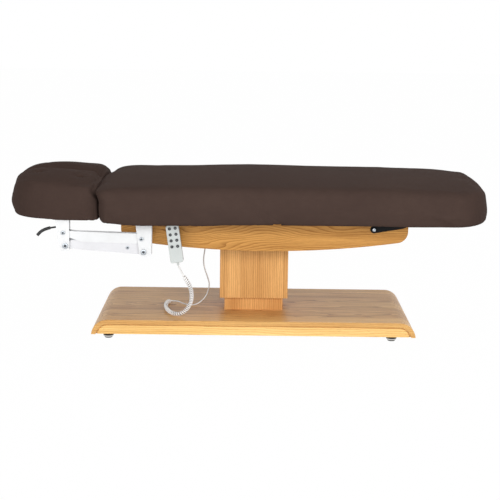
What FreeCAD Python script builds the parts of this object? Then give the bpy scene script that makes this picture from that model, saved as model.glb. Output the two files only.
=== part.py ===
"""Spa bed: oak base and lifting column, three padded sections, a headrest on parallel arms, a handset."""
import math
import os

import FreeCAD
import Part

V = FreeCAD.Vector
os.makedirs("parts", exist_ok=True)

# All sizes are in mm. X runs along the bed with the head end at minus X, the front is minus Y, Z is up.

# Fits
running_fit = 0.08
seat_fit = 0.05
body_gap = 0.5
cushion_gap = 0.4
slot_play = 1.3

# Base
base_centre_x = 19.0
base_flat_half = 568.0
base_half_depth = 289.0
foot_height = 24.0
base_height = 58.0
panel_thick = 17.0
base_end_radius = 64.0
apron_recess = 8.0
apron_thick = 18.0
apron_end_gap = 0.3
groove_width = 6.0
groove_depth = 6.0
rail_board_width = 38.0
inner_board_offset = 95.0

# Levelling feet
foot_edge_inset = 52.0
foot_head_past = 1.0
foot_leg_inset = 25.0
foot_sole_radius = 14.0
foot_sole_height = 8.0
foot_pad_radius = 20.5
foot_pad_height = 9.0
foot_collar_radius = 17.0
foot_stud_radius = 5.0
foot_stud_in = 30.0

# Lifting column
inner_sleeve_half_x = 117.0
inner_sleeve_half_y = 94.0
outer_sleeve_half_x = 136.0
outer_sleeve_half_y = 112.5
sleeve_wall = 16.0
inner_sleeve_top_z = 400.0
outer_sleeve_bottom_z = 134.0
head_plate_bottom_z = 428.0
head_plate_thick = 6.0
head_plate_half_y = 110.0
lower_tube_half = 65.0
lower_tube_wall = 5.0
lower_plate_half_x = 95.0
lower_plate_half_y = 74.0
lower_plate_thick = 8.0
upper_tube_half = 55.0
upper_tube_wall = 4.0
upper_tube_bottom_z = 100.0
lift_housing_half = 38.0
lift_housing_height = 62.0
lift_guide_radius = 20.0
lift_guide_top_z = 420.0
lift_rod_radius = 12.5
lift_rod_bottom_z = 158.0

# Beams and cross rails
beam_face_y = 235.0
beam_thick = 32.0
beam_start_x = -498.0
beam_end_x = 613.0
beam_top_z = 459.5
beam_low_z = 351.0
beam_foot_lift = 2.7
beam_arc_radius = 3800.0
beam_corner_radius = 45.0
cross_rail_width = 40.0
cross_rail_bottom_z = 394.0
cross_rail_wall = 3.0
head_rail_x = -165.0
middle_rail_x = 165.0
foot_rail_x = 560.0

# Boards under the cushions
deck_half_width = 272.0
back_deck_start_x = -560.0
back_deck_end_x = 89.0
seat_deck_start_x = 120.0
seat_deck_end_x = 468.0
leg_deck_start_x = 490.0
leg_deck_end_x = 800.0

# Back hinge, its rails and its push lever
back_axis_x = 97.0
back_axis_z = 449.0
back_fold_half_angle = 33.0
back_half_swing = 32.5
back_shaft_radius = 6.0
back_hub_radius = 10.4
back_rail_y = 163.0
back_rail_half_width = 17.0
back_rail_height = 18.0
back_rail_end_x = 75.0
back_bar_width = 30.0
back_bar_xs = [-540.0, -405.0, -250.0, -95.0, 45.0]
lever_thick = 6.0
lever_half_gap = 9.0
back_lever_length = 75.0
lever_end_radius = 11.0
push_pin_radius = 6.0
yoke_half_thick = 6.0
yoke_rim = 7.0
yoke_play_z = 2.0
back_rod_radius = 10.0
back_rod_run = 205.0
back_guide_radius = 19.0
back_guide_start_x = 225.0
back_housing_start_x = 385.0
back_housing_end_x = 450.0
back_housing_inner_y = 140.0
actuator_housing_half_height = 30.0

# Leg hinge, plates and push lever
leg_axis_x = 480.0
leg_axis_z = 441.5
leg_fold_half_angle = 16.0
leg_half_swing = 15.0
leg_shaft_radius = 7.0
leg_bolt_radius = 10.0
leg_bolt_thick = 5.0
leg_plate_thick = 5.0
leg_plate_radius = 14.0
leg_plate_top_start = 20.0
leg_plate_tip = 140.0
leg_plate_tip_back = 26.0
leg_plate_tip_rise = 5.5
leg_lever_length = 58.0
leg_lever_y = -60.0
leg_rod_radius = 9.0
leg_rod_run = 118.0
leg_guide_radius = 18.0
leg_guide_end_x = 415.0
leg_housing_length = 70.0
leg_housing_half_width = 35.0

# Cushions
mattress_start_x = -594.0
mattress_end_x = 940.0
mattress_half_width = 385.0
mattress_bottom_z = 474.5
mattress_edge_z = 600.0
mattress_crown = 12.0
cushion_low_round = 22.0
cushion_top_round = 40.0
cushion_side_bulge = 6.0
least_half_width = 70.0
foot_plan_run = 175.7
foot_plan_power = 2.23
foot_top_drop = 68.0
foot_top_run = 58.6
foot_low_rise = 48.0
foot_low_run = 36.2
foot_section_xs = [0.0, 1.5, 5.0, 12.0, 24.0, 40.0, 62.0, 92.0, 130.0, 175.7]
head_corner_draw = 85.0
head_corner_run = 45.0
head_top_drop = 11.0
head_top_run = 90.0
head_low_rise = 12.0
head_low_run = 60.0
head_lip_points = [(-566.0, 470.0), (-566.0, 558.0), (-594.0, 584.0)]
head_section_xs = [0.0, 2.0, 8.0, 20.0, 45.0, 90.0]
rise_points = [(-600.0, 0.0), (-465.0, 5.0), (-250.0, 8.5), (-127.0, 12.0), (0.0, 14.5), (127.0, 13.0),
               (250.0, 11.0),
               (550.0, 10.0), (720.0, 5.0), (800.0, 2.0), (960.0, 0.0)]
cut_top_z = 720.0
cut_margin = 60.0

# Headrest cushion and its board
pad_start_x = -940.0
pad_end_x = -579.0
pad_half_width = 310.0
pad_bottom_z = 475.5
pad_edge_z = 612.1
pad_tilt = 0.0483
pad_tilt_x = -600.0
pad_crest_y = 105.0
pad_crest_rise = 21.3
pad_valley_half = 16.0
pad_valley_edge_drop = 15.0
pad_valley_drop = 23.0
pad_plan_run = 237.3
pad_plan_power = 2.64
pad_top_drop = 74.8
pad_top_run = 131.5
pad_low_rise = 50.2
pad_low_run = 21.6
pad_low_round = 16.0
pad_section_xs = [0.0, 1.5, 5.0, 12.0, 24.0, 42.0, 66.0, 98.0, 140.0, 190.0]
pad_back_corner = 14.0
pad_back_drop = 20.0
pad_back_run = 50.0
pad_back_rise = 8.0
pad_lip_points = [(-579.0, 558.0), (-600.0, 578.0), (-605.0, 600.0), (-608.0, 660.0)]
pad_back_xs = [0.0, 4.0, 14.0, 50.0]
tuft_radius = 38.0
tuft_depth = 6.0
tuft_points = [(-838.0, 105.0), (-668.0, 105.0)]
head_board_thick = 12.0
head_board_half_width = 274.0
head_board_start_x = -795.0
head_board_end_x = -625.0

# Headrest arms, one set at the front and one at the rear
arm_y = 270.0
rear_cheek_below = 17.0
rear_trim_reach = 150.0
cheek_half_gap = 14.0
cheek_thick = 3.0
upper_link_half = 12.5
lower_link_half = 8.5
link_thick = 2.5
bracket_pivot_x = -415.0
bracket_pivot_z = 402.5
pivot_step_x = 8.0
pivot_step_z = -51.0
link_run_x = -300.0
link_rise_z = 21.0
link_end_round = 11.0
link_bush_radius = 9.0
arm_pin_radius = 5.0
arm_bolt_radius = 7.5
arm_big_bolt_radius = 10.5
arm_bolt_thick = 3.5
upper_link_top = [(-669.0, 428.5), (-436.0, 423.0)]
upper_link_low = [(-648.0, 388.5), (-436.0, 383.0)]
lower_link_top = [(-685.0, 394.0), (-425.0, 388.0)]
lower_link_low = [(-685.0, 360.0), (-425.0, 341.5)]
bracket_outline = [(-437.3, 460.0), (-375.5, 460.0), (-377.0, 338.0), (-385.0, 333.0), (-416.0, 333.0),
                   (-423.0, 339.0)]
carrier_outline = [(-745.5, 475.5), (-691.5, 475.5), (-691.5, 357.0), (-697.0, 351.0), (-718.0, 351.0),
                   (-724.0, 357.0), (-735.0, 394.0)]

# Gas spring between the lower arm and the carrier, at the front only
spring_bolt_x = -469.0
spring_bolt_z = 366.5
spring_pin_x = -700.0
spring_pin_z = 398.0
spring_pin_radius = 3.5
spring_eye_radius = 8.0
spring_eye_half = 4.0
spring_tube_radius = 5.5
spring_rod_radius = 3.0
spring_tube_run = 150.0
spring_tube_start = 5.0
spring_rod_overlap = 60.0
spring_bore_spare = 14.0
spring_slot_low = 2.9
spring_slot_high = 1.0
spring_slot_side = 0.8

# Release lever on the front carrier
lever_pin_x = -722.0
lever_pin_z = 447.0
lever_pin_radius = 3.5
lever_boss_radius = 7.0
lever_boss_half = 8.0
lever_wire_radius = 3.5
lever_grip_radius = 6.0
lever_points = [(-814.0, 412.0), (-803.0, 424.0), (-789.0, 432.0), (-771.0, 438.0), (-746.0, 442.0),
                (-722.0, 447.0), (-699.0, 434.0), (-676.0, 419.5)]
lever_grip_points = [(-816.0, 409.8), (-803.0, 424.0), (-789.0, 432.0), (-771.0, 438.0), (-766.0, 438.9)]

# Handset, built upright and then hung at a slant
handset_top_x = -297.9
handset_top_z = 460.3
handset_slant = 8.06
handset_width = 50.0
handset_length = 148.0
handset_front_y = -300.0
handset_split_y = -288.0
handset_back_y = -276.0
handset_wall = 2.2
handset_corner = 9.0
handset_edge = 2.5
button_radius = 5.8
button_hole_gap = 0.3
button_proud = 1.8
button_flange_radius = 6.8
button_flange_gap = 0.3
button_flange_thick = 1.4
button_stem_end_y = -290.5
button_first_row = 13.2
button_row_pitch = 23.5
button_rows = 4
button_column_half = 11.0
relief_length = 12.0
relief_top_radius = 5.5
relief_end_radius = 3.4
relief_offset = 2.0
hook_x = -294.0
hook_z = 428.0
hook_flange_radius = 14.0
hook_flange_thick = 3.0
hook_peg_radius = 5.0
hook_head_radius = 8.0
hook_head_thick = 4.0
hook_head_gap = 0.4

# Control box and its cord gland
box_start_x = -325.0
box_half_y = 75.0
box_bottom_z = 385.0
box_top_z = 430.0
box_round = 6.0
inlet_half_y = 14.0
inlet_half_z = 10.0
inlet_depth = 16.0
gland_x = -178.0
gland_radius = 8.0
gland_nut_radius = 10.0
gland_nut_height = 8.0
gland_height = 20.0

# Handset cord
cord_radius = 2.6
coil_radius = 5.8
coil_turns = 59
coil_ramp_turns = 2.4
coil_lead_pitch = 34.0
coil_end_run = 3.0
cord_lead = 6.0
cord_corner_share = 0.45
coil_points = [(-265.5, -287.5, 285.5), (-258.0, -286.5, 270.5), (-249.6, -285.0, 253.4),
               (-232.5, -277.0, 226.0), (-224.5, -266.0, 199.7), (-222.7, -252.0, 172.5),
               (-226.5, -238.0, 144.8), (-238.5, -226.0, 118.5), (-255.0, -222.0, 99.5),
               (-276.0, -222.5, 91.6), (-301.0, -210.0, 91.6), (-321.0, -165.0, 91.6),
               (-333.5, -105.0, 91.6), (-336.5, -55.0, 91.6), (-333.0, -18.0, 91.6),
               (-320.0, 3.0, 91.6), (-299.0, -4.0, 91.6)]
lower_tail_points = [(-269.0, -22.0, 86.4), (-251.0, -36.5, 85.2), (-230.5, -44.0, 85.2),
                     (-209.5, -40.0, 89.5), (-188.5, -30.5, 103.5), (-172.5, -22.5, 123.5),
                     (-163.5, -15.0, 148.0), (-162.5, -9.0, 171.5), (-170.0, -5.0, 195.5),
                     (-180.0, -2.0, 221.5), (-186.7, -0.5, 247.5), (-186.6, 0.0, 276.5),
                     (-182.0, 0.0, 305.0), (-178.0, 0.0, 331.0)]


def box(x0, x1, y0, y1, z0, z1):
    return Part.makeBox(x1 - x0, y1 - y0, z1 - z0, V(x0, y0, z0))


def bar(start, end, radius):
    run = end.sub(start)
    return Part.makeCylinder(radius, run.Length, start, run)


def bar_y(x, z, y0, y1, radius):
    return bar(V(x, y0, z), V(x, y1, z), radius)


def face_y(points, y0, y1):
    corners = [V(x, y0, z) for x, z in points]
    face = Part.Face(Part.makePolygon(corners + [corners[0]]))
    return face.extrude(V(0, y1 - y0, 0))


def tapered_bar(x0, z0, r0, x1, z1, r1, y0, y1):
    """A flat bar with two round ends, as wide at each end as that end's round."""
    dx = x1 - x0
    dz = z1 - z0
    run = math.hypot(dx, dz)
    heading = math.atan2(dz, dx)
    lean = math.acos((r0 - r1) / run)
    corners = []
    for cx, cz, r, side in ((x0, z0, r0, 1), (x1, z1, r1, 1), (x1, z1, r1, -1), (x0, z0, r0, -1)):
        angle = heading + side * lean
        corners.append((cx + r * math.cos(angle), cz + r * math.sin(angle)))
    shape = face_y(corners, y0, y1)
    shape = shape.fuse([bar_y(x0, z0, y0, y1, r0), bar_y(x1, z1, y0, y1, r1)])
    return shape.removeSplitter()


def rounded(shape, radius, axis, picker=None):
    """Fillets the straight edges that run along one axis."""
    chosen = []
    for edge in shape.Edges:
        if len(edge.Vertexes) < 2:
            continue
        run = edge.Vertexes[1].Point.sub(edge.Vertexes[0].Point)
        if run.Length > 0 and abs(abs(run.normalize().dot(axis)) - 1) < 1e-6:
            if picker is None or picker(edge):
                chosen.append(edge)
    return shape.makeFillet(radius, chosen)


def mirrored(shape):
    return shape.mirror(V(0, 0, 0), V(0, 1, 0))


def both(shape):
    return Part.makeCompound([shape, mirrored(shape)])


def save(name, shape):
    shape.exportStep("parts/" + name + ".step")
    solids = shape.Solids
    volume = sum(s.Volume for s in solids)
    sound = all(s.isValid() for s in solids)
    print(name, "solids", len(solids), "litres %.4f" % (volume / 1e6), "valid", sound)


# Base boards
base_bottom_z = foot_height
base_top_z = foot_height + base_height
panel_low_z = base_top_z - panel_thick
arc_centre_z = base_top_z - base_end_radius


def waterfall_edges(radius, low_z, y):
    """The outline from one bent end over the flat top to the other bent end."""
    drop = low_z - arc_centre_z
    reach = math.sqrt(radius * radius - drop * drop)
    low_angle = math.asin(drop / radius)
    half_angle = (low_angle + math.pi / 2) / 2
    left_x = base_centre_x - base_flat_half
    right_x = base_centre_x + base_flat_half
    a = V(left_x - reach, y, low_z)
    b = V(left_x - radius * math.cos(half_angle), y, arc_centre_z + radius * math.sin(half_angle))
    c = V(left_x, y, arc_centre_z + radius)
    d = V(right_x, y, arc_centre_z + radius)
    e = V(right_x + radius * math.cos(half_angle), y, arc_centre_z + radius * math.sin(half_angle))
    f = V(right_x + reach, y, low_z)
    edges = [Part.Arc(a, b, c).toShape(), Part.LineSegment(c, d).toShape(), Part.Arc(d, e, f).toShape()]
    return edges, a, f


outer_edges, outer_a, outer_f = waterfall_edges(base_end_radius, base_bottom_z, -base_half_depth)
inner_edges, inner_a, inner_f = waterfall_edges(base_end_radius - panel_thick, base_bottom_z,
                                                -base_half_depth)
panel_edges = outer_edges + [Part.LineSegment(outer_f, inner_f).toShape()]
panel_edges = panel_edges + inner_edges[::-1] + [Part.LineSegment(inner_a, outer_a).toShape()]
panel_wire = Part.Wire(Part.sortEdges(panel_edges)[0])
panel = Part.Face(panel_wire).extrude(V(0, base_half_depth + base_half_depth, 0))
save("base_top_panel", panel)

apron_face_y = base_half_depth - apron_recess
apron_back_y = apron_face_y - apron_thick
apron_radius = base_end_radius - panel_thick - apron_end_gap


def apron_layer(radius, y0, y1):
    edges, a, f = waterfall_edges(radius, base_bottom_z, y0)
    wire = Part.Wire(Part.sortEdges(edges + [Part.LineSegment(f, a).toShape()])[0])
    return Part.Face(wire).extrude(V(0, y1 - y0, 0))


# A rebate along the apron's top leaves a dark groove under the panel
apron = apron_layer(apron_radius, groove_depth - apron_face_y, -apron_back_y)
apron = apron.fuse(apron_layer(apron_radius - groove_width, -apron_face_y, groove_depth - apron_face_y))
save("base_aprons", both(apron.removeSplitter()))

foot_offset_y = base_half_depth - foot_edge_inset
foot_xs = [base_centre_x - base_flat_half - foot_head_past, base_centre_x + base_flat_half - foot_leg_inset]
boards = []
for centre_x in foot_xs + [base_centre_x - inner_board_offset, base_centre_x + inner_board_offset]:
    board = box(centre_x - rail_board_width / 2, centre_x + rail_board_width / 2,
                -apron_back_y, apron_back_y, base_bottom_z, panel_low_z)
    if centre_x in foot_xs:
        for foot_y in (-foot_offset_y, foot_offset_y):
            hole = bar(V(centre_x, foot_y, base_bottom_z), V(centre_x, foot_y, panel_low_z),
                       foot_stud_radius + running_fit)
            board = board.cut(hole)
    boards.append(board.cut(panel))
save("base_rails", Part.makeCompound(boards))

foot_names = {"levelling_foot_front_head": (foot_xs[0], -foot_offset_y),
              "levelling_foot_front_leg": (foot_xs[1], -foot_offset_y),
              "levelling_foot_rear_head": (foot_xs[0], foot_offset_y),
              "levelling_foot_rear_leg": (foot_xs[1], foot_offset_y)}
for name, (x, y) in foot_names.items():
    rim = Part.makeCone(foot_sole_radius, foot_pad_radius, foot_sole_height, V(x, y, 0))
    pad = Part.makeCylinder(foot_pad_radius, foot_pad_height, V(x, y, foot_sole_height))
    collar_z = foot_sole_height + foot_pad_height
    collar = Part.makeCylinder(foot_collar_radius, foot_height - collar_z - body_gap, V(x, y, collar_z))
    stud = Part.makeCylinder(foot_stud_radius, foot_height - collar_z + foot_stud_in, V(x, y, collar_z))
    save(name, pad.fuse([rim, collar, stud]).removeSplitter())

# Lifting column
column_x = base_centre_x


def sleeve(half_x, half_y, wall, z0, z1):
    outer = box(column_x - half_x, column_x + half_x, -half_y, half_y, z0, z1)
    inner = box(column_x - half_x + wall, column_x + half_x - wall, -half_y + wall, half_y - wall, z0, z1)
    return outer.cut(inner)


save("column_inner_sleeve", sleeve(inner_sleeve_half_x, inner_sleeve_half_y, sleeve_wall,
                                   base_top_z, inner_sleeve_top_z))
save("column_outer_sleeve", sleeve(outer_sleeve_half_x, outer_sleeve_half_y, sleeve_wall,
                                   outer_sleeve_bottom_z, head_plate_bottom_z))

plate_top_z = base_top_z + lower_plate_thick
lower_plate = box(column_x - lower_plate_half_x, column_x + lower_plate_half_x,
                  -lower_plate_half_y, lower_plate_half_y, base_top_z, plate_top_z)
lower_tube = sleeve(lower_tube_half, lower_tube_half, lower_tube_wall, plate_top_z, inner_sleeve_top_z)
save("lift_lower_column", lower_plate.fuse(lower_tube).removeSplitter())

cross_rail_top_z = head_plate_bottom_z
head_plate_top_z = head_plate_bottom_z + head_plate_thick
upper_tube = sleeve(upper_tube_half, upper_tube_half, upper_tube_wall, upper_tube_bottom_z,
                    head_plate_bottom_z)
head_plate = box(head_rail_x, middle_rail_x + cross_rail_width, -head_plate_half_y, head_plate_half_y,
                 head_plate_bottom_z, head_plate_top_z)
save("lift_upper_column", upper_tube.fuse(head_plate).removeSplitter())

housing_top_z = plate_top_z + lift_housing_height
housing = box(column_x - lift_housing_half, column_x + lift_housing_half, -lift_housing_half,
              lift_housing_half,
              plate_top_z, housing_top_z)
guide = bar(V(column_x, 0, housing_top_z), V(column_x, 0, lift_guide_top_z), lift_guide_radius)
bore = bar(V(column_x, 0, housing_top_z), V(column_x, 0, lift_guide_top_z), lift_rod_radius + running_fit)
save("lift_actuator_body", housing.fuse(guide).removeSplitter().cut(bore))
save("lift_actuator_rod", bar(V(column_x, 0, lift_rod_bottom_z), V(column_x, 0, head_plate_bottom_z),
                              lift_rod_radius))

# Beams with a bowed lower edge
beam_mid_x = (beam_start_x + beam_end_x) / 2
beam_half = (beam_end_x - beam_start_x) / 2
beam_rise = beam_arc_radius - math.sqrt(beam_arc_radius ** 2 - beam_half ** 2)
beam_end_low_z = beam_low_z + beam_rise
beam_inner_y = beam_face_y - beam_thick
beam_points = [V(beam_start_x, -beam_face_y, beam_top_z), V(beam_end_x, -beam_face_y, beam_top_z),
               V(beam_end_x, -beam_face_y, beam_end_low_z + beam_foot_lift), V(beam_start_x,
                                                                               -beam_face_y, beam_end_low_z)]
beam_low = Part.Arc(beam_points[2], V(beam_mid_x, -beam_face_y, beam_low_z), beam_points[3]).toShape()
beam_wire = Part.Wire([Part.LineSegment(beam_points[0], beam_points[1]).toShape(),
                       Part.LineSegment(beam_points[1], beam_points[2]).toShape(),
                       beam_low,
                       Part.LineSegment(beam_points[3], beam_points[0]).toShape()])
beam = Part.Face(beam_wire).extrude(V(0, beam_thick, 0))
beam = rounded(beam, beam_corner_radius, V(0, 1, 0),
               lambda edge: edge.Vertexes[0].Z < beam_end_low_z + beam_corner_radius)
beam = beam.cut(bar_y(leg_axis_x, leg_axis_z, -beam_face_y, -beam_inner_y, leg_shaft_radius + running_fit))
beam = beam.cut(bar_y(back_axis_x, back_axis_z, -beam_inner_y - lever_thick, -beam_inner_y,
                      back_shaft_radius + seat_fit))
save("front_beam", beam)
save("rear_beam", mirrored(beam))

rails = []
for rail_x in (head_rail_x, middle_rail_x, foot_rail_x):
    outer = box(rail_x, rail_x + cross_rail_width, -beam_inner_y, beam_inner_y,
                cross_rail_bottom_z, cross_rail_top_z)
    inner = box(rail_x + cross_rail_wall, rail_x + cross_rail_width - cross_rail_wall, -beam_inner_y,
                beam_inner_y,
                cross_rail_bottom_z + cross_rail_wall, cross_rail_top_z - cross_rail_wall)
    rails.append(outer.cut(inner))
save("cross_rails", Part.makeCompound(rails))

# Boards
deck_top_z = mattress_bottom_z
moving_deck_z = beam_top_z + body_gap
save("seat_deck", box(seat_deck_start_x, seat_deck_end_x, -deck_half_width, deck_half_width,
                      beam_top_z, deck_top_z))
save("back_deck", box(back_deck_start_x, back_deck_end_x, -deck_half_width, deck_half_width,
                      moving_deck_z, deck_top_z))
leg_deck = box(leg_deck_start_x, leg_deck_end_x, -deck_half_width, deck_half_width, moving_deck_z, deck_top_z)
save("leg_deck", leg_deck)

# Back rails, hinge hubs and the push lever
save("back_pivot_shaft", bar_y(back_axis_x, back_axis_z, -beam_inner_y - lever_thick,
                               beam_inner_y + lever_thick,
                               back_shaft_radius))
back_rail_low_z = moving_deck_z - back_rail_height
swing = math.radians(back_half_swing)
back_pin_x = back_axis_x + back_lever_length * math.sin(swing)
back_pin_z = back_axis_z - back_lever_length * math.cos(swing)
back_pin_low_z = back_axis_z - back_lever_length
back_parts = []
for side in (-1, 1):
    y0 = side * back_rail_y - back_rail_half_width
    y1 = side * back_rail_y + back_rail_half_width
    back_parts.append(box(back_deck_start_x, back_rail_end_x, y0, y1, back_rail_low_z, moving_deck_z))
    for plate in (-1, 1):
        edge_y = side * back_rail_y + plate * lever_half_gap
        far_y = edge_y + plate * lever_thick
        p0 = min(edge_y, far_y)
        p1 = max(edge_y, far_y)
        hub_start_x = back_rail_end_x - back_hub_radius
        back_parts.append(tapered_bar(hub_start_x, back_axis_z, back_hub_radius - running_fit,
                                      back_axis_x, back_axis_z, back_hub_radius, p0, p1))
        if side > 0:
            back_parts.append(tapered_bar(back_axis_x, back_axis_z, back_hub_radius,
                                          back_pin_x, back_pin_z, back_hub_radius - running_fit, p0, p1))
pin_y0 = back_rail_y - lever_half_gap - lever_thick
pin_y1 = back_rail_y + lever_half_gap + lever_thick
back_parts.append(bar_y(back_pin_x, back_pin_z, pin_y0, pin_y1, push_pin_radius))
for bar_x in back_bar_xs:
    back_parts.append(box(bar_x, bar_x + back_bar_width, -back_rail_y, back_rail_y, back_rail_low_z,
                          moving_deck_z))
back_rails = back_parts[0].fuse(back_parts[1:]).removeSplitter()
back_rails = back_rails.cut(bar_y(back_axis_x, back_axis_z, -beam_inner_y, beam_inner_y,
                                  back_shaft_radius + running_fit))
save("back_rails", back_rails)


def yoke(pin_x, low_z, high_z, y, toward, half_thick):
    """A slotted push head: the lever's pin rides up and down in the slot."""
    half_slot = push_pin_radius + slot_play
    slot_low = low_z - push_pin_radius - yoke_play_z
    slot_high = high_z + push_pin_radius + yoke_play_z
    plate = box(pin_x - half_slot - yoke_rim, pin_x + half_slot + yoke_rim, y - half_thick, y + half_thick,
                slot_low - yoke_rim, slot_high + yoke_rim)
    slot = box(pin_x - half_slot, pin_x + half_slot, y - half_thick, y + half_thick, slot_low, slot_high)
    return plate.cut(slot), pin_x + toward * (half_slot + yoke_rim)


back_rod_z = (back_pin_z + back_pin_low_z) / 2
back_yoke, back_yoke_x = yoke(back_pin_x, back_pin_low_z, back_pin_z, back_rail_y, 1, yoke_half_thick)
back_rod = bar(V(back_yoke_x, back_rail_y, back_rod_z), V(back_yoke_x + back_rod_run, back_rail_y,
                                                          back_rod_z),
               back_rod_radius)
save("back_actuator_rod", back_yoke.fuse(back_rod).removeSplitter())
back_guide = bar(V(back_guide_start_x, back_rail_y, back_rod_z), V(back_housing_start_x, back_rail_y,
                                                                   back_rod_z),
                 back_guide_radius)
back_housing = box(back_housing_start_x, back_housing_end_x, back_housing_inner_y, beam_inner_y,
                   back_rod_z - actuator_housing_half_height, back_rod_z + actuator_housing_half_height)
back_bore = bar(V(back_guide_start_x, back_rail_y, back_rod_z), V(back_housing_start_x, back_rail_y,
                                                                  back_rod_z),
                back_rod_radius + running_fit)
save("back_actuator_body", back_guide.fuse(back_housing).removeSplitter().cut(back_bore))

# Leg hinge: a shaft through both beams turns the two plates
leg_swing = math.radians(leg_half_swing)
leg_pin_x = leg_axis_x - leg_lever_length * math.sin(leg_swing)
leg_pin_z = leg_axis_z - leg_lever_length * math.cos(leg_swing)
leg_pin_low_z = leg_axis_z - leg_lever_length
plate_inner_y = beam_face_y + body_gap
plate_outer_y = plate_inner_y + leg_plate_thick
leg_parts = [bar_y(leg_axis_x, leg_axis_z, -plate_outer_y, plate_outer_y, leg_shaft_radius)]
for side in (-1, 1):
    head_a = side * plate_outer_y
    head_b = side * (plate_outer_y + leg_bolt_thick)
    leg_parts.append(bar_y(leg_axis_x, leg_axis_z, min(head_a, head_b), max(head_a, head_b), leg_bolt_radius))
    edge_y = leg_lever_y + side * lever_half_gap
    far_y = edge_y + side * lever_thick
    leg_parts.append(tapered_bar(leg_axis_x, leg_axis_z, lever_end_radius, leg_pin_x, leg_pin_z,
                                 lever_end_radius - running_fit, min(edge_y, far_y), max(edge_y, far_y)))
leg_parts.append(bar_y(leg_pin_x, leg_pin_z, leg_lever_y - lever_half_gap - lever_thick,
                       leg_lever_y + lever_half_gap + lever_thick, push_pin_radius))
save("leg_pivot_shaft", leg_parts[0].fuse(leg_parts[1:]).removeSplitter())

plate_points = [(leg_axis_x, leg_axis_z - leg_plate_radius),
                (leg_axis_x + leg_plate_tip - leg_plate_tip_back, leg_axis_z + leg_plate_tip_rise),
                (leg_axis_x + leg_plate_tip, moving_deck_z),
                (leg_axis_x + leg_plate_top_start, moving_deck_z),
                (leg_axis_x, leg_axis_z + leg_plate_radius)]
leg_plate = face_y(plate_points, -plate_outer_y, -plate_inner_y)
leg_plate = leg_plate.fuse(bar_y(leg_axis_x, leg_axis_z, -plate_outer_y, -plate_inner_y, leg_plate_radius))
leg_plate = leg_plate.removeSplitter().cut(bar_y(leg_axis_x, leg_axis_z, -plate_outer_y, -plate_inner_y,
                                                 leg_shaft_radius + seat_fit))
save("leg_hinge_plates", both(leg_plate))

leg_rod_z = (leg_pin_z + leg_pin_low_z) / 2
leg_yoke, leg_yoke_x = yoke(leg_pin_x, leg_pin_low_z, leg_pin_z, leg_lever_y, -1, yoke_half_thick)
leg_rod = bar(V(leg_yoke_x - leg_rod_run, leg_lever_y, leg_rod_z), V(leg_yoke_x, leg_lever_y, leg_rod_z),
              leg_rod_radius)
save("leg_actuator_rod", leg_yoke.fuse(leg_rod).removeSplitter())
leg_housing_x = middle_rail_x + cross_rail_width
leg_housing_end_x = leg_housing_x + leg_housing_length
leg_housing = box(leg_housing_x, leg_housing_end_x, leg_lever_y - leg_housing_half_width,
                  leg_lever_y + leg_housing_half_width, leg_rod_z - actuator_housing_half_height,
                  leg_rod_z + actuator_housing_half_height)
leg_guide = bar(V(leg_housing_end_x, leg_lever_y, leg_rod_z), V(leg_guide_end_x, leg_lever_y, leg_rod_z),
                leg_guide_radius)
leg_bore = bar(V(leg_housing_end_x, leg_lever_y, leg_rod_z), V(leg_guide_end_x, leg_lever_y, leg_rod_z),
               leg_rod_radius + running_fit)
save("leg_actuator_body", leg_housing.fuse(leg_guide).removeSplitter().cut(leg_bore))


# Cushions, lofted through sections across the bed
def quarter_inset(amount, run, e):
    """How far a rounded end has drawn in at a distance e from the end."""
    if e >= run:
        return 0.0
    return amount * (1 - math.sqrt(1 - (1 - e / run) ** 2))


def plan_half(half_width, run, power, e):
    """Half the width of a cushion at a distance e from its rounded end."""
    if e >= run:
        return half_width
    return max(least_half_width, half_width * (1 - (1 - e / run) ** power) ** (1 / power))


def rise_at(x):
    """How far the middle of the mattress swells above its ends."""
    for (xa, za), (xb, zb) in zip(rise_points, rise_points[1:]):
        if xa <= x <= xb:
            return za + (zb - za) * (x - xa) / (xb - xa)
    return 0.0


def corner_mid(centre_y, centre_z, radius, sign_y, sign_z):
    share = math.sqrt(0.5)
    return centre_y + sign_y * radius * share, centre_z + sign_z * radius * share


def cushion_side(w, low, edge, low_round, top_round):
    """One side of a section, from the flat underside up to the start of the top."""
    side_y = w - cushion_side_bulge
    low_mid = corner_mid(side_y - low_round, low + low_round, low_round, 1, -1)
    top_mid = corner_mid(side_y - top_round, edge - top_round, top_round, 1, 1)
    points = [(side_y - low_round, low), low_mid, (side_y, low + low_round),
              (w, (low + low_round + edge - top_round) / 2), (side_y, edge - top_round), top_mid,
              (side_y - top_round, edge)]
    return points


def arc(a, b, c):
    return Part.Arc(a, b, c).toShape()


def flipped(p):
    return V(p.x, -p.y, p.z)


def cushion_wire(x, w, low, edge, tops, low_round):
    """A closed section; tops are the points of the top arcs on one side, in pairs."""
    room = (edge - low) / (low_round + cushion_top_round)
    squeeze = min(1.0, 0.9 * room)
    side = cushion_side(w, low, edge, low_round * squeeze, cushion_top_round * squeeze)
    right = [V(x, y, z) for y, z in side]
    left = [flipped(p) for p in right]
    top = [V(x, y, z) for y, z in tops]
    edges = [Part.LineSegment(left[0], right[0]).toShape(), arc(right[0], right[1], right[2]),
             arc(right[2], right[3], right[4]), arc(right[4], right[5], right[6])]
    start = right[6]
    if len(top) == 1:
        edges.append(arc(start, top[0], left[6]))
    else:
        edges.append(arc(start, top[0], top[1]))
        edges.append(arc(top[1], top[2], flipped(top[1])))
        edges.append(arc(flipped(top[1]), flipped(top[0]), left[6]))
    edges += [arc(left[6], left[5], left[4]), arc(left[4], left[3], left[2]), arc(left[2], left[1], left[0])]
    return Part.Wire(edges)


def mattress_wire(x, w, low, edge):
    crown = mattress_crown * (w / mattress_half_width) ** 2
    return cushion_wire(x, w, low, edge, [(0, edge + crown)], cushion_low_round)


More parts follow.
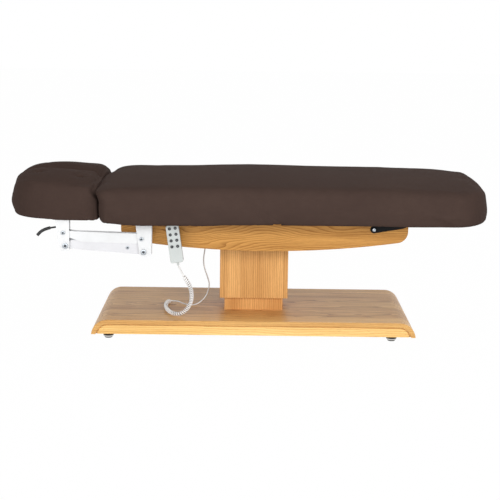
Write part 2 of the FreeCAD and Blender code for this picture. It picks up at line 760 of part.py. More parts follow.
sections = []
for e in head_section_xs:
    x = mattress_start_x + e
    sections.append(mattress_wire(x,
                                  mattress_half_width - quarter_inset(head_corner_draw, head_corner_run, e),
                                  mattress_bottom_z + quarter_inset(head_low_rise, head_low_run, e),
                                  mattress_edge_z + rise_at(x) - quarter_inset(head_top_drop,
                                                                               head_top_run, e)))
for x, rise in rise_points:
    if mattress_start_x + head_top_run < x < mattress_end_x - foot_plan_run:
        sections.append(mattress_wire(x, mattress_half_width, mattress_bottom_z, mattress_edge_z + rise))
for e in foot_section_xs[::-1]:
    x = mattress_end_x - e
    sections.append(mattress_wire(x, plan_half(mattress_half_width, foot_plan_run, foot_plan_power, e),
                                  mattress_bottom_z + quarter_inset(foot_low_rise, foot_low_run, e),
                                  mattress_edge_z + rise_at(x) - quarter_inset(foot_top_drop,
                                                                               foot_top_run, e)))
mattress = Part.makeLoft(sections, True, True)
lip_start_x = mattress_start_x - cut_margin
lip_points = head_lip_points + [(lip_start_x, head_lip_points[-1][1]), (lip_start_x, head_lip_points[0][1])]
mattress = mattress.cut(face_y(lip_points, -mattress_half_width, mattress_half_width))

cut_y = mattress_half_width + cut_margin
left_x = mattress_start_x - cut_margin
right_x = mattress_end_x + cut_margin
back_lean = math.tan(math.radians(back_fold_half_angle))
leg_lean = math.tan(math.radians(leg_fold_half_angle))
back_reach = (cut_top_z - back_axis_z) * back_lean
leg_reach = (cut_top_z - leg_axis_z) * leg_lean
back_fold_z = back_axis_z + cushion_gap / math.sin(math.radians(back_fold_half_angle))
leg_fold_z = leg_axis_z + cushion_gap / math.sin(math.radians(leg_fold_half_angle))
back_fold_reach = (cut_top_z - back_fold_z) * back_lean
leg_fold_reach = (cut_top_z - leg_fold_z) * leg_lean
cuts = {
    "mattress_back": [(left_x, back_axis_z), (back_axis_x, back_axis_z), (back_axis_x - back_reach,
                                                                          cut_top_z),
                      (left_x, cut_top_z)],
    "mattress_back_fold": [(back_axis_x, back_fold_z), (back_axis_x + back_fold_reach, cut_top_z),
                           (back_axis_x - back_fold_reach, cut_top_z)],
    "mattress_seat": [(back_axis_x, back_axis_z), (leg_axis_x, leg_axis_z), (leg_axis_x - leg_reach,
                                                                             cut_top_z),
                      (back_axis_x + back_reach, cut_top_z)],
    "mattress_leg_fold": [(leg_axis_x, leg_fold_z), (leg_axis_x + leg_fold_reach, cut_top_z),
                          (leg_axis_x - leg_fold_reach, cut_top_z)],
    "mattress_legs": [(leg_axis_x, leg_axis_z), (right_x, leg_axis_z), (right_x, cut_top_z),
                      (leg_axis_x + leg_reach, cut_top_z)],
}
for name, points in cuts.items():
    save(name, mattress.common(face_y(points, -cut_y, cut_y)))


def pad_edge(x):
    return pad_edge_z + pad_tilt * (pad_tilt_x - x)


def pad_wire(x, w, low, drop):
    edge = pad_edge(x) - drop
    share = w / pad_half_width
    crest = edge + pad_crest_rise
    tops = [(pad_crest_y * share, crest), (pad_valley_half * share, crest - pad_valley_edge_drop),
            (0, crest - pad_valley_drop)]
    return cushion_wire(x, w, low, edge, tops, pad_low_round)


pad_sections = []
for e in pad_section_xs:
    pad_sections.append(pad_wire(pad_start_x + e, plan_half(pad_half_width, pad_plan_run, pad_plan_power, e),
                                 pad_bottom_z + quarter_inset(pad_low_rise, pad_low_run, e),
                                 quarter_inset(pad_top_drop, pad_top_run, e)))
for e in pad_back_xs[::-1]:
    pad_sections.append(pad_wire(pad_end_x - e,
                                 pad_half_width - quarter_inset(pad_back_corner, pad_back_corner, e),
                                 pad_bottom_z + quarter_inset(pad_back_rise, pad_back_corner, e),
                                 quarter_inset(pad_back_drop, pad_back_run, e)))
pad = Part.makeLoft(pad_sections, True, True)
lip_reach = pad_end_x + cut_margin
pad = pad.cut(face_y(pad_lip_points + [(lip_reach, pad_lip_points[-1][1]), (lip_reach, pad_lip_points[0][1])],
                     -pad_half_width, pad_half_width))
for tuft_x, tuft_y in tuft_points:
    tuft_z = pad_edge(tuft_x) + pad_crest_rise - quarter_inset(pad_top_drop, pad_top_run,
                                                               tuft_x - pad_start_x)
    for side in (-1, 1):
        centre = V(tuft_x, side * tuft_y, tuft_z + tuft_radius - tuft_depth)
        pad = pad.cut(Part.makeSphere(tuft_radius, centre))
head_board_top_z = pad_bottom_z + head_board_thick
board_pocket = box(head_board_start_x - seat_fit, head_board_end_x + seat_fit,
                   -head_board_half_width - seat_fit,
                   head_board_half_width + seat_fit, pad_bottom_z - cut_margin, head_board_top_z)
save("headrest_pad", pad.cut(board_pocket))
save("head_deck", box(head_board_start_x, head_board_end_x, -head_board_half_width, head_board_half_width,
                      pad_bottom_z, head_board_top_z))

# Headrest arms
b1 = (bracket_pivot_x, bracket_pivot_z)
b2 = (bracket_pivot_x + pivot_step_x, bracket_pivot_z + pivot_step_z)
c1 = (b1[0] + link_run_x, b1[1] + link_rise_z)
c2 = (b2[0] + link_run_x, b2[1] + link_rise_z)
cheek_out_y = arm_y + cheek_half_gap + cheek_thick
cheek_in_y = arm_y - cheek_half_gap - cheek_thick


def clevis(outline, pivots, web_top_z):
    """Two cheeks and the web that joins them at the top, with bolt holes."""
    outer = face_y(outline, -cheek_out_y, -cheek_out_y + cheek_thick)
    inner = face_y(outline, -cheek_in_y - cheek_thick, -cheek_in_y)
    web = box(outline[0][0], outline[1][0], -cheek_out_y, -cheek_in_y, web_top_z - cheek_thick, web_top_z)
    shape = outer.fuse([inner, web]).removeSplitter()
    for px, pz in pivots:
        shape = shape.cut(bar_y(px, pz, -cheek_out_y, -cheek_in_y, arm_pin_radius + seat_fit))
    return shape


def short_clevis(shape, pivot):
    """The rear side has the upper arm only, so its cheeks end under that arm's bolt."""
    px, pz = pivot
    low_z = pz - rear_cheek_below
    return shape.cut(box(px - rear_trim_reach, px + rear_trim_reach, -cheek_out_y, -cheek_in_y,
                         low_z - rear_trim_reach, low_z))


def arm_bolt(pivot, head_radius):
    px, pz = pivot
    pin = bar_y(px, pz, -cheek_out_y, -cheek_in_y, arm_pin_radius)
    head = bar_y(px, pz, -cheek_out_y - arm_bolt_thick, -cheek_out_y, head_radius)
    nut = bar_y(px, pz, -cheek_in_y, -cheek_in_y + arm_bolt_thick, head_radius)
    return pin.fuse([head, nut]).removeSplitter()


def link(outline, ends, half):
    """Two side plates joined by a bush at each pivot."""
    parts = []
    for y0 in (-arm_y - half, -arm_y + half - link_thick):
        parts.append(face_y(outline, y0, y0 + link_thick))
        for px, pz in ends:
            parts.append(bar_y(px, pz, y0, y0 + link_thick, link_end_round))
    for px, pz in ends:
        parts.append(bar_y(px, pz, -arm_y - half, -arm_y + half, link_bush_radius))
    shape = parts[0].fuse(parts[1:]).removeSplitter()
    for px, pz in ends:
        shape = shape.cut(bar_y(px, pz, -arm_y - half, -arm_y + half, arm_pin_radius + running_fit))
    return shape


upper_outline = [upper_link_top[0], upper_link_top[1], (b1[0], b1[1] + link_end_round),
                 (b1[0], b1[1] - link_end_round), upper_link_low[1], upper_link_low[0],
                 (c1[0], c1[1] - link_end_round), (c1[0], c1[1] + link_end_round)]
lower_outline = [lower_link_top[0], lower_link_top[1], (b2[0], b2[1] + link_end_round),
                 (b2[0], b2[1] - link_end_round), lower_link_low[1], lower_link_low[0],
                 (c2[0], c2[1] - link_end_round), (c2[0], c2[1] + link_end_round)]
upper_link = link(upper_outline, (b1, c1), upper_link_half)
lower_link = link(lower_outline, (b2, c2), lower_link_half)
spring_bolt = bar_y(spring_bolt_x, spring_bolt_z, -arm_y - lower_link_half, -arm_y + lower_link_half,
                    spring_pin_radius)
front_lower_link = lower_link.fuse(spring_bolt).removeSplitter()
save("head_upper_links", both(upper_link))
save("head_lower_links", front_lower_link)

bracket = clevis(bracket_outline, (b1, b2), moving_deck_z)
save("head_brackets", Part.makeCompound([bracket, mirrored(short_clevis(bracket, b1))]))
save("bracket_pins", Part.makeCompound([arm_bolt(b1, arm_bolt_radius), arm_bolt(b2, arm_bolt_radius),
                                        mirrored(arm_bolt(b1, arm_bolt_radius))]))
carrier = clevis(carrier_outline, (c1, c2), pad_bottom_z)
front_carrier = carrier.fuse([bar_y(lever_pin_x, lever_pin_z, -cheek_out_y, -cheek_in_y, lever_pin_radius),
                              bar_y(spring_pin_x, spring_pin_z, -cheek_out_y, -cheek_in_y,
                                    spring_pin_radius)])
save("head_carriers", Part.makeCompound([front_carrier.removeSplitter(), mirrored(short_clevis(carrier,
                                                                                               c1))]))
save("carrier_pins", Part.makeCompound([arm_bolt(c1, arm_bolt_radius), arm_bolt(c2, arm_big_bolt_radius),
                                        mirrored(arm_bolt(c1, arm_bolt_radius))]))

# Gas spring
spring_start = V(spring_bolt_x, -arm_y, spring_bolt_z)
spring_end = V(spring_pin_x, -arm_y, spring_pin_z)
spring_dir = spring_end.sub(spring_start).normalize()
spring_length = spring_end.sub(spring_start).Length


def along_spring(distance):
    return spring_start.add(V(spring_dir.x * distance, spring_dir.y * distance, spring_dir.z * distance))


spring_tube = bar(along_spring(spring_tube_start), along_spring(spring_tube_run), spring_tube_radius)
tube_eye = bar_y(spring_bolt_x, spring_bolt_z, -arm_y - spring_eye_half, -arm_y + spring_eye_half,
                 spring_eye_radius)
spring_tube = spring_tube.fuse(tube_eye).removeSplitter()
spring_tube = spring_tube.cut(bar_y(spring_bolt_x, spring_bolt_z, -arm_y - spring_eye_half,
                                    -arm_y + spring_eye_half, spring_pin_radius + running_fit))
spring_tube = spring_tube.cut(bar(along_spring(spring_tube_run - spring_rod_overlap - spring_bore_spare),
                                  along_spring(spring_tube_run), spring_rod_radius + running_fit))
save("gas_spring_cylinder", spring_tube)
spring_rod = bar(along_spring(spring_tube_run - spring_rod_overlap),
                 along_spring(spring_length - spring_pin_radius - spring_slot_side), spring_rod_radius)
slot_half = spring_pin_radius + spring_slot_side
slot_low_z = spring_pin_z - spring_pin_radius - spring_slot_low
slot_high_z = spring_pin_z + spring_pin_radius + spring_slot_high
rod_eye = box(spring_pin_x - slot_half - spring_rod_radius, spring_pin_x + slot_half + spring_rod_radius,
              -arm_y - spring_eye_half, -arm_y + spring_eye_half,
              slot_low_z - spring_rod_radius, slot_high_z + spring_rod_radius)
spring_rod = spring_rod.fuse(rod_eye).removeSplitter()
spring_rod = spring_rod.cut(box(spring_pin_x - slot_half, spring_pin_x + slot_half,
                                -arm_y - spring_eye_half, -arm_y + spring_eye_half, slot_low_z, slot_high_z))
save("gas_spring_rod", spring_rod)


# Round tubes along straight runs joined by tangent arcs
def route_pieces(points):
    """Lines and arcs through a row of points; each arc is (start, heading, turn-in, radius, angle)."""
    pieces = []
    start = points[0]
    for i in range(1, len(points) - 1):
        before = points[i].sub(points[i - 1])
        after = points[i + 1].sub(points[i])
        d0 = V(before).normalize()
        d1 = V(after).normalize()
        angle = d0.getAngle(d1)
        cut = cord_corner_share * min(before.Length, after.Length)
        radius = cut / math.tan(angle / 2)
        arc_start = points[i].sub(V(d0.x * cut, d0.y * cut, d0.z * cut))
        arc_end = points[i].add(V(d1.x * cut, d1.y * cut, d1.z * cut))
        inward = d1.sub(V(d0.x * d0.dot(d1), d0.y * d0.dot(d1), d0.z * d0.dot(d1))).normalize()
        pieces.append(("line", start, d0, None, 0, arc_start.sub(start).Length))
        pieces.append(("arc", arc_start, d0, inward, radius, radius * angle))
        start = arc_end
    last = points[-1].sub(start)
    pieces.append(("line", start, V(last).normalize(), None, 0, last.Length))
    return pieces


def piece_at(piece, s):
    kind, start, d0, inward, radius, length = piece
    if kind == "line":
        return start.add(V(d0.x * s, d0.y * s, d0.z * s)), V(d0)
    a = s / radius
    forward = radius * math.sin(a)
    aside = radius * (1 - math.cos(a))
    point = V(start.x + d0.x * forward + inward.x * aside, start.y + d0.y * forward + inward.y * aside,
              start.z + d0.z * forward + inward.z * aside)
    heading = V(d0.x * math.cos(a) + inward.x * math.sin(a), d0.y * math.cos(a) + inward.y * math.sin(a),
                d0.z * math.cos(a) + inward.z * math.sin(a))
    return point, heading


def route_at(pieces, s):
    for piece in pieces:
        if s <= piece[5]:
            return piece_at(piece, s)
        s -= piece[5]
    return piece_at(pieces[-1], pieces[-1][5])


def tube(points, radius, name):
    pieces = route_pieces(points)
    edges = []
    for piece in pieces:
        a = piece_at(piece, 0)[0]
        b = piece_at(piece, piece[5] / 2)[0]
        c = piece_at(piece, piece[5])[0]
        if piece[0] == "line":
            edges.append(Part.LineSegment(a, c).toShape())
        else:
            edges.append(Part.Arc(a, b, c).toShape())
    spine = Part.Wire(edges)
    ring = Part.Wire(Part.makeCircle(radius, points[0], pieces[0][2]))
    solid = spine.makePipeShell([ring], True, False)
    ratio = solid.Volume / (math.pi * radius * radius * spine.Length)
    radii = [round(p[4], 1) for p in pieces if p[0] == "arc"]
    print(name, "length %.1f" % spine.Length, "volume ratio %.4f" % ratio, "radii", radii)
    return solid


def lever_route(points):
    return [V(x, -arm_y, z) for x, z in points]


lever = tube(lever_route(lever_points), lever_wire_radius, "release_lever rod")
grip = tube(lever_route(lever_grip_points), lever_grip_radius, "release_lever grip")
boss = bar_y(lever_pin_x, lever_pin_z, -arm_y - lever_boss_half, -arm_y + lever_boss_half, lever_boss_radius)
lever = lever.fuse([grip, boss]).removeSplitter()
lever = lever.cut(bar_y(lever_pin_x, lever_pin_z, -arm_y - lever_boss_half, -arm_y + lever_boss_half,
                        lever_pin_radius + running_fit))
save("release_lever", lever)


# Handset
def hung(shape):
    shape.rotate(V(0, 0, 0), V(0, 1, 0), -handset_slant)
    shape.translate(V(handset_top_x, 0, handset_top_z))
    return shape


half_width = handset_width / 2
slant = math.radians(handset_slant)
shell = box(-half_width, half_width, handset_front_y, handset_back_y, -handset_length, 0)
shell = rounded(shell, handset_corner, V(0, 1, 0))
rims = [e for e in shell.Edges
        if all(abs(v.Y - handset_front_y) < 1e-6 or abs(v.Y - handset_back_y) < 1e-6 for v in e.Vertexes)
        and abs(e.Vertexes[0].Y - e.Vertexes[-1].Y) < 1e-6]
shell = shell.makeFillet(handset_edge, rims)
hollow = box(-half_width + handset_wall, half_width - handset_wall, handset_front_y + handset_wall,
             handset_back_y - handset_wall, -handset_length + handset_wall, -handset_wall)
hollow = rounded(hollow, handset_corner - handset_wall, V(0, 1, 0))
shell = shell.cut(hollow)
front_half = box(-handset_length, handset_length, handset_front_y - handset_width, handset_split_y,
                 -handset_length - handset_width, handset_width)
front_shell = shell.common(front_half)
rear_shell = shell.cut(front_half)
button_places = []
for row in range(button_rows):
    for side in (-1, 1):
        button_places.append((side * button_column_half, -button_first_row - row * button_row_pitch))
for bx, bz in button_places:
    front_shell = front_shell.cut(bar_y(bx, bz, handset_front_y, handset_split_y,
                                        button_radius + button_hole_gap))
wall_y = handset_front_y + handset_wall
flange_y = wall_y + button_flange_gap
for number, (bx, bz) in enumerate(button_places, 1):
    cap = bar_y(bx, bz, handset_front_y - button_proud, button_stem_end_y, button_radius)
    flange = bar_y(bx, bz, flange_y, flange_y + button_flange_thick, button_flange_radius)
    save("handset_button_%d" % number, hung(cap.fuse(flange).removeSplitter()))

hook_local_x = (hook_x - handset_top_x) * math.cos(slant) + (hook_z - handset_top_z) * math.sin(slant)
hook_local_z = -(hook_x - handset_top_x) * math.sin(slant) + (hook_z - handset_top_z) * math.cos(slant)
keyhole = bar_y(hook_local_x, hook_local_z, handset_back_y - handset_wall, handset_back_y,
                hook_peg_radius + hook_head_gap)
save("handset_front_shell", hung(front_shell))
save("handset_rear_shell", hung(rear_shell.cut(keyhole)))
flange = bar_y(hook_x, hook_z, -beam_face_y - hook_flange_thick, -beam_face_y, hook_flange_radius)
head_y = handset_back_y - handset_wall - hook_head_gap
peg = bar_y(hook_x, hook_z, head_y, -beam_face_y, hook_peg_radius)
head = bar_y(hook_x, hook_z, head_y - hook_head_thick, head_y, hook_head_radius)
save("handset_hook", flange.fuse([peg, head]).removeSplitter())

relief = Part.makeCone(relief_top_radius, relief_end_radius, relief_length,
                       V(relief_offset, handset_split_y, -handset_length), V(0, 0, -1))
save("handset_strain_relief", hung(relief))
down = V(math.sin(slant), 0, -math.cos(slant))
across = V(math.cos(slant), 0, math.sin(slant))
tip_run = handset_length + relief_length
relief_tip = V(handset_top_x + across.x * relief_offset + down.x * tip_run, handset_split_y,
               handset_top_z + across.z * relief_offset + down.z * tip_run)

# Control box
control = box(box_start_x, head_rail_x, -box_half_y, box_half_y, box_bottom_z, box_top_z)
control = rounded(control, box_round, V(0, 0, 1), lambda edge: edge.Vertexes[0].X < head_rail_x - box_round)
box_mid_z = (box_bottom_z + box_top_z) / 2
control = control.cut(box(box_start_x, box_start_x + inlet_depth, -inlet_half_y, inlet_half_y,
                          box_mid_z - inlet_half_z, box_mid_z + inlet_half_z))
save("control_box", control)
gland_nut = bar(V(gland_x, 0, box_bottom_z - gland_nut_height), V(gland_x, 0, box_bottom_z), gland_nut_radius)
gland_low_z = box_bottom_z - gland_height
gland = bar(V(gland_x, 0, gland_low_z), V(gland_x, 0, box_bottom_z), gland_radius)
save("cord_gland", gland.fuse(gland_nut).removeSplitter())

# Handset cord: an upper tail, the coil and a lower tail
coil_route = [V(*p) for p in coil_points]
coil_pieces = route_pieces(coil_route)
coil_length = sum(p[5] for p in coil_pieces)
first_heading = coil_pieces[0][2]
last_heading = coil_pieces[-1][2]
tail_lead = V(relief_tip.x + down.x * cord_lead, handset_split_y, relief_tip.z + down.z * cord_lead)
coil_before = coil_route[0].sub(V(first_heading.x * cord_lead, first_heading.y * cord_lead,
                                  first_heading.z * cord_lead))
upper_tail = [relief_tip, tail_lead] + [coil_before, coil_route[0]]
save("cord_upper_tail", tube(upper_tail, cord_radius, "cord_upper_tail"))
coil_after = coil_route[-1].add(V(last_heading.x * relief_length, last_heading.y * relief_length,
                                  last_heading.z * relief_length))
lower_tail = [coil_route[-1], coil_after] + [V(*p) for p in lower_tail_points] + [V(gland_x, 0, gland_low_z)]
save("cord_lower_tail", tube(lower_tail, cord_radius, "cord_lower_tail"))


def smooth_step(t):
    t = max(0.0, min(1.0, t))
    return t * t * (3 - 2 * t)


# The coil's turns, half a turn at a time, as pairs of arcs
steps_per_turn = 48
total_steps = coil_turns * steps_per_turn


def turn_state(step, main_pitch):
    turns = step / steps_per_turn
    grown = min(smooth_step(turns / coil_ramp_turns), smooth_step((coil_turns - turns) / coil_ramp_turns))
    return coil_radius * grown, main_pitch + (coil_lead_pitch - main_pitch) * (1 - grown)


def run_for(main_pitch):
    return sum(turn_state(i + 0.5, main_pitch)[1] for i in range(total_steps)) / steps_per_turn


low_pitch = cord_radius
high_pitch = coil_lead_pitch
wanted_run = coil_length - 2 * coil_end_run
for _ in range(60):
    pitch = (low_pitch + high_pitch) / 2
    if run_for(pitch) < wanted_run:
        low_pitch = pitch
    else:
        high_pitch = pitch
centres = []
s = coil_end_run
side_dir = first_heading.cross(V(0, 1, 0)).normalize()
for step in range(total_steps + 1):
    point, heading = route_at(coil_pieces, s)
    along = side_dir.dot(heading)
    side_dir = side_dir.sub(V(heading.x * along, heading.y * along, heading.z * along)).normalize()
    up_dir = heading.cross(side_dir)
    radius = turn_state(step, pitch)[0]
    angle = 2 * math.pi * step / steps_per_turn
    ca = radius * math.cos(angle)
    sa = radius * math.sin(angle)
    centres.append(V(point.x + side_dir.x * ca + up_dir.x * sa, point.y + side_dir.y * ca + up_dir.y * sa,
                     point.z + side_dir.z * ca + up_dir.z * sa))
    s += turn_state(step + 0.5, pitch)[1] / steps_per_turn
half_turn = steps_per_turn // 2
quarter = half_turn // 2
least = min((centres[i].sub(centres[j]).Length for i in range(0, total_steps, 3)
             for j in range(i + half_turn, min(i + 2 * steps_per_turn, total_steps))))
print("coil pitch %.2f" % pitch, "route %.1f" % coil_length,
      "least self gap %.2f" % (least - 2 * cord_radius))


def tangent_arc(start, heading, end):
    chord = end.sub(start)
    unit = V(chord).normalize()
    aside = heading.sub(V(unit.x * heading.dot(unit), unit.y * heading.dot(unit), unit.z * heading.dot(unit)))
    if aside.Length < 1e-6:
        return Part.LineSegment(start, end).toShape(), unit, 1e9
    aside.normalize()
    lean = heading.getAngle(unit)
    rise = chord.Length / 2 * math.tan(lean / 2)
    middle = V((start.x + end.x) / 2 + aside.x * rise, (start.y + end.y) / 2 + aside.y * rise,
               (start.z + end.z) / 2 + aside.z * rise)
    leave = V(2 * unit.dot(heading) * unit.x - heading.x, 2 * unit.dot(heading) * unit.y - heading.y,
              2 * unit.dot(heading) * unit.z - heading.z)
    return Part.Arc(start, middle, end).toShape(), leave, chord.Length / (2 * math.sin(lean))


def heading_at(i):
    if i <= 0:
        return V(first_heading)
    if i >= total_steps:
        return V(last_heading)
    return centres[i + 1].sub(centres[i - 1]).normalize()


coil_edges = [Part.LineSegment(coil_route[0], centres[0]).toShape()]
tightest = 1e9
for i in range(0, total_steps, quarter):
    a = centres[i]
    b = centres[i + quarter]
    t0 = heading_at(i)
    t1 = heading_at(i + quarter)
    v = b.sub(a)
    t = t0.add(t1)
    k = 2 * (1 - t0.dot(t1))
    vt = v.dot(t)
    reach = v.dot(v) / (2 * vt) if k < 1e-9 else (math.sqrt(vt * vt + k * v.dot(v)) - vt) / k
    joint = V((a.x + b.x + reach * (t0.x - t1.x)) / 2, (a.y + b.y + reach * (t0.y - t1.y)) / 2,
              (a.z + b.z + reach * (t0.z - t1.z)) / 2)
    edge, leave, r0 = tangent_arc(a, t0, joint)
    coil_edges.append(edge)
    edge, leave, r1 = tangent_arc(joint, leave, b)
    coil_edges.append(edge)
    tightest = min(tightest, r0, r1)
coil_edges.append(Part.LineSegment(centres[-1], coil_route[-1]).toShape())
coil_wire = Part.Wire(coil_edges)
coil_ring = Part.Wire(Part.makeCircle(cord_radius, coil_route[0], first_heading))
coil = coil_wire.makePipeShell([coil_ring], True, False)
ratio = coil.Volume / (math.pi * cord_radius ** 2 * coil_wire.Length)
print("coil wire length %.1f" % coil_wire.Length, "tightest radius %.2f" % tightest,
      "volume ratio %.4f" % ratio)
save("cord_coil", coil)
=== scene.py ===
"""Spa bed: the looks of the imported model, in its frame, in metres."""
import math

import bmesh
import bpy
import numpy as np
from mathutils import Matrix, Vector


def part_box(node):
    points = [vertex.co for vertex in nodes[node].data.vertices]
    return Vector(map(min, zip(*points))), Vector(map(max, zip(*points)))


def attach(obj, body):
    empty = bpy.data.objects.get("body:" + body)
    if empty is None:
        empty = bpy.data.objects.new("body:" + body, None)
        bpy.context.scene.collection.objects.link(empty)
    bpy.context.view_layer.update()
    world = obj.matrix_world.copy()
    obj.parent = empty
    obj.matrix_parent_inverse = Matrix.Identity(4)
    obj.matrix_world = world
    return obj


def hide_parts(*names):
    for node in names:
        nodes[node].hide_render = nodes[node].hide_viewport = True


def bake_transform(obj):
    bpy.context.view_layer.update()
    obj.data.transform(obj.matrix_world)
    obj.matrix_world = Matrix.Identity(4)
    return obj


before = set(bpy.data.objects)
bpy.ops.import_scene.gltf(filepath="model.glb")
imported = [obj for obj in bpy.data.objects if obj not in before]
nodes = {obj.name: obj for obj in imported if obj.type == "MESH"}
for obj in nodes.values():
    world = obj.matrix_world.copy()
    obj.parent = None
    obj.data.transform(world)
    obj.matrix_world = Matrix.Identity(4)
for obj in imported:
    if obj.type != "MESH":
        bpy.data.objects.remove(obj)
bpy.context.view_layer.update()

scene = bpy.context.scene
scene.view_settings.view_transform = "Standard"


def linear(r, g, b):
    """A colour written as 0 to 255 display values."""
    out = []
    for v in (r, g, b):
        v = v / 255
        out.append(v / 12.92 if v <= 0.04045 else ((v + 0.055) / 1.055) ** 2.4)
    return (*out, 1.0)


def shaded(colour, share):
    """A colour made darker."""
    return tuple(c * share for c in colour[:3]) + (1.0,)


def smooth(t):
    """An even rise from 0 to 1 while t goes from 0 to 1."""
    t = np.clip(t, 0.0, 1.0)
    return t * t * (3 - 2 * t)


def bell(values, middle, width):
    """1 at the middle, falling off over the width to both sides."""
    return np.exp(-((values - middle) / width) ** 2)


# Camera, fitted to the photo
eye = Vector((-0.0102, -4.9216, 1.2856))
pitch = math.radians(11.2345)
yaw = math.radians(0.1462)
roll = math.radians(0.7371)
forward = Vector((math.sin(yaw) * math.cos(pitch), math.cos(yaw) * math.cos(pitch), -math.sin(pitch)))
level = Vector((math.cos(yaw), -math.sin(yaw), 0))
upright = level.cross(forward)
right = level * math.cos(roll) + upright * math.sin(roll)
above = upright * math.cos(roll) - level * math.sin(roll)
camera = bpy.data.objects.new("camera", bpy.data.cameras.new("camera"))
camera.matrix_world = Matrix(((right.x, above.x, -forward.x, eye.x),
                              (right.y, above.y, -forward.y, eye.y),
                              (right.z, above.z, -forward.z, eye.z), (0, 0, 0, 1)))
camera.data.sensor_width = 36
camera.data.lens = 88.64
camera.data.clip_start = 0.1
camera.data.clip_end = 100
scene.collection.objects.link(camera)
scene.camera = camera


class Nodes:
    """A material whose nodes are added by short calls."""

    def __init__(self, name):
        self.material = bpy.data.materials.new(name)
        self.material.use_nodes = True
        self.tree = self.material.node_tree
        self.shader = self.tree.nodes["Principled BSDF"]

    def add(self, kind, inputs=None, **settings):
        node = self.tree.nodes.new(kind)
        for key, value in settings.items():
            setattr(node, key, value)
        for key, value in (inputs or {}).items():
            self.set(node.inputs[key], value)
        return node

    def set(self, socket, value):
        if isinstance(value, bpy.types.NodeSocket):
            self.tree.links.new(value, socket)
        else:
            socket.default_value = value

    def math(self, operation, a, b=0.0, c=0.0):
        return self.add("ShaderNodeMath", {0: a, 1: b, 2: c}, operation=operation).outputs[0]

    def place(self):
        """The place on the piece, in metres."""
        return self.add("ShaderNodeTexCoord").outputs["Object"]

    def split(self, vector):
        parts = self.add("ShaderNodeSeparateXYZ", {0: vector})
        return parts.outputs[0], parts.outputs[1], parts.outputs[2]

    def join(self, x, y, z):
        return self.add("ShaderNodeCombineXYZ", {0: x, 1: y, 2: z}).outputs[0]

    def scaled(self, parts, scales):
        """A place whose three parts are stretched by their own amounts."""
        return self.join(*[self.math("MULTIPLY", part, scale) for part, scale in zip(parts, scales)])

    def noise(self, vector, scale, detail, rough):
        inputs = {"Vector": vector, "Scale": scale, "Detail": detail, "Roughness": rough}
        return self.add("ShaderNodeTexNoise", inputs).outputs["Fac"]

    def ramp(self, value, stops):
        node = self.add("ShaderNodeValToRGB", {0: value})
        points = node.color_ramp.elements
        while len(points) < len(stops):
            points.new(0.5)
        for point, (position, level) in zip(points, stops):
            point.position = position
            point.color = (level, level, level, 1)
        return node.outputs[0]

    def mix(self, share, a, b):
        node = self.add("ShaderNodeMix", data_type="RGBA")
        self.set(node.inputs[0], share)
        self.set(node.inputs[6], a)
        self.set(node.inputs[7], b)
        return node.outputs[2]

    def range(self, value, low, high, to_low, to_high):
        node = self.add("ShaderNodeMapRange", {0: value, 1: low, 2: high, 3: to_low, 4: to_high})
        return node.outputs[0]

    def bump(self, height, strength, distance, normal=None):
        node = self.add("ShaderNodeBump", {"Height": height, "Strength": strength, "Distance": distance})
        if normal is not None:
            self.set(node.inputs["Normal"], normal)
        return node.outputs[0]

    def finish(self, **inputs):
        for key, value in inputs.items():
            self.set(self.shader.inputs[key.replace("_", " ")], value)
        return self.material


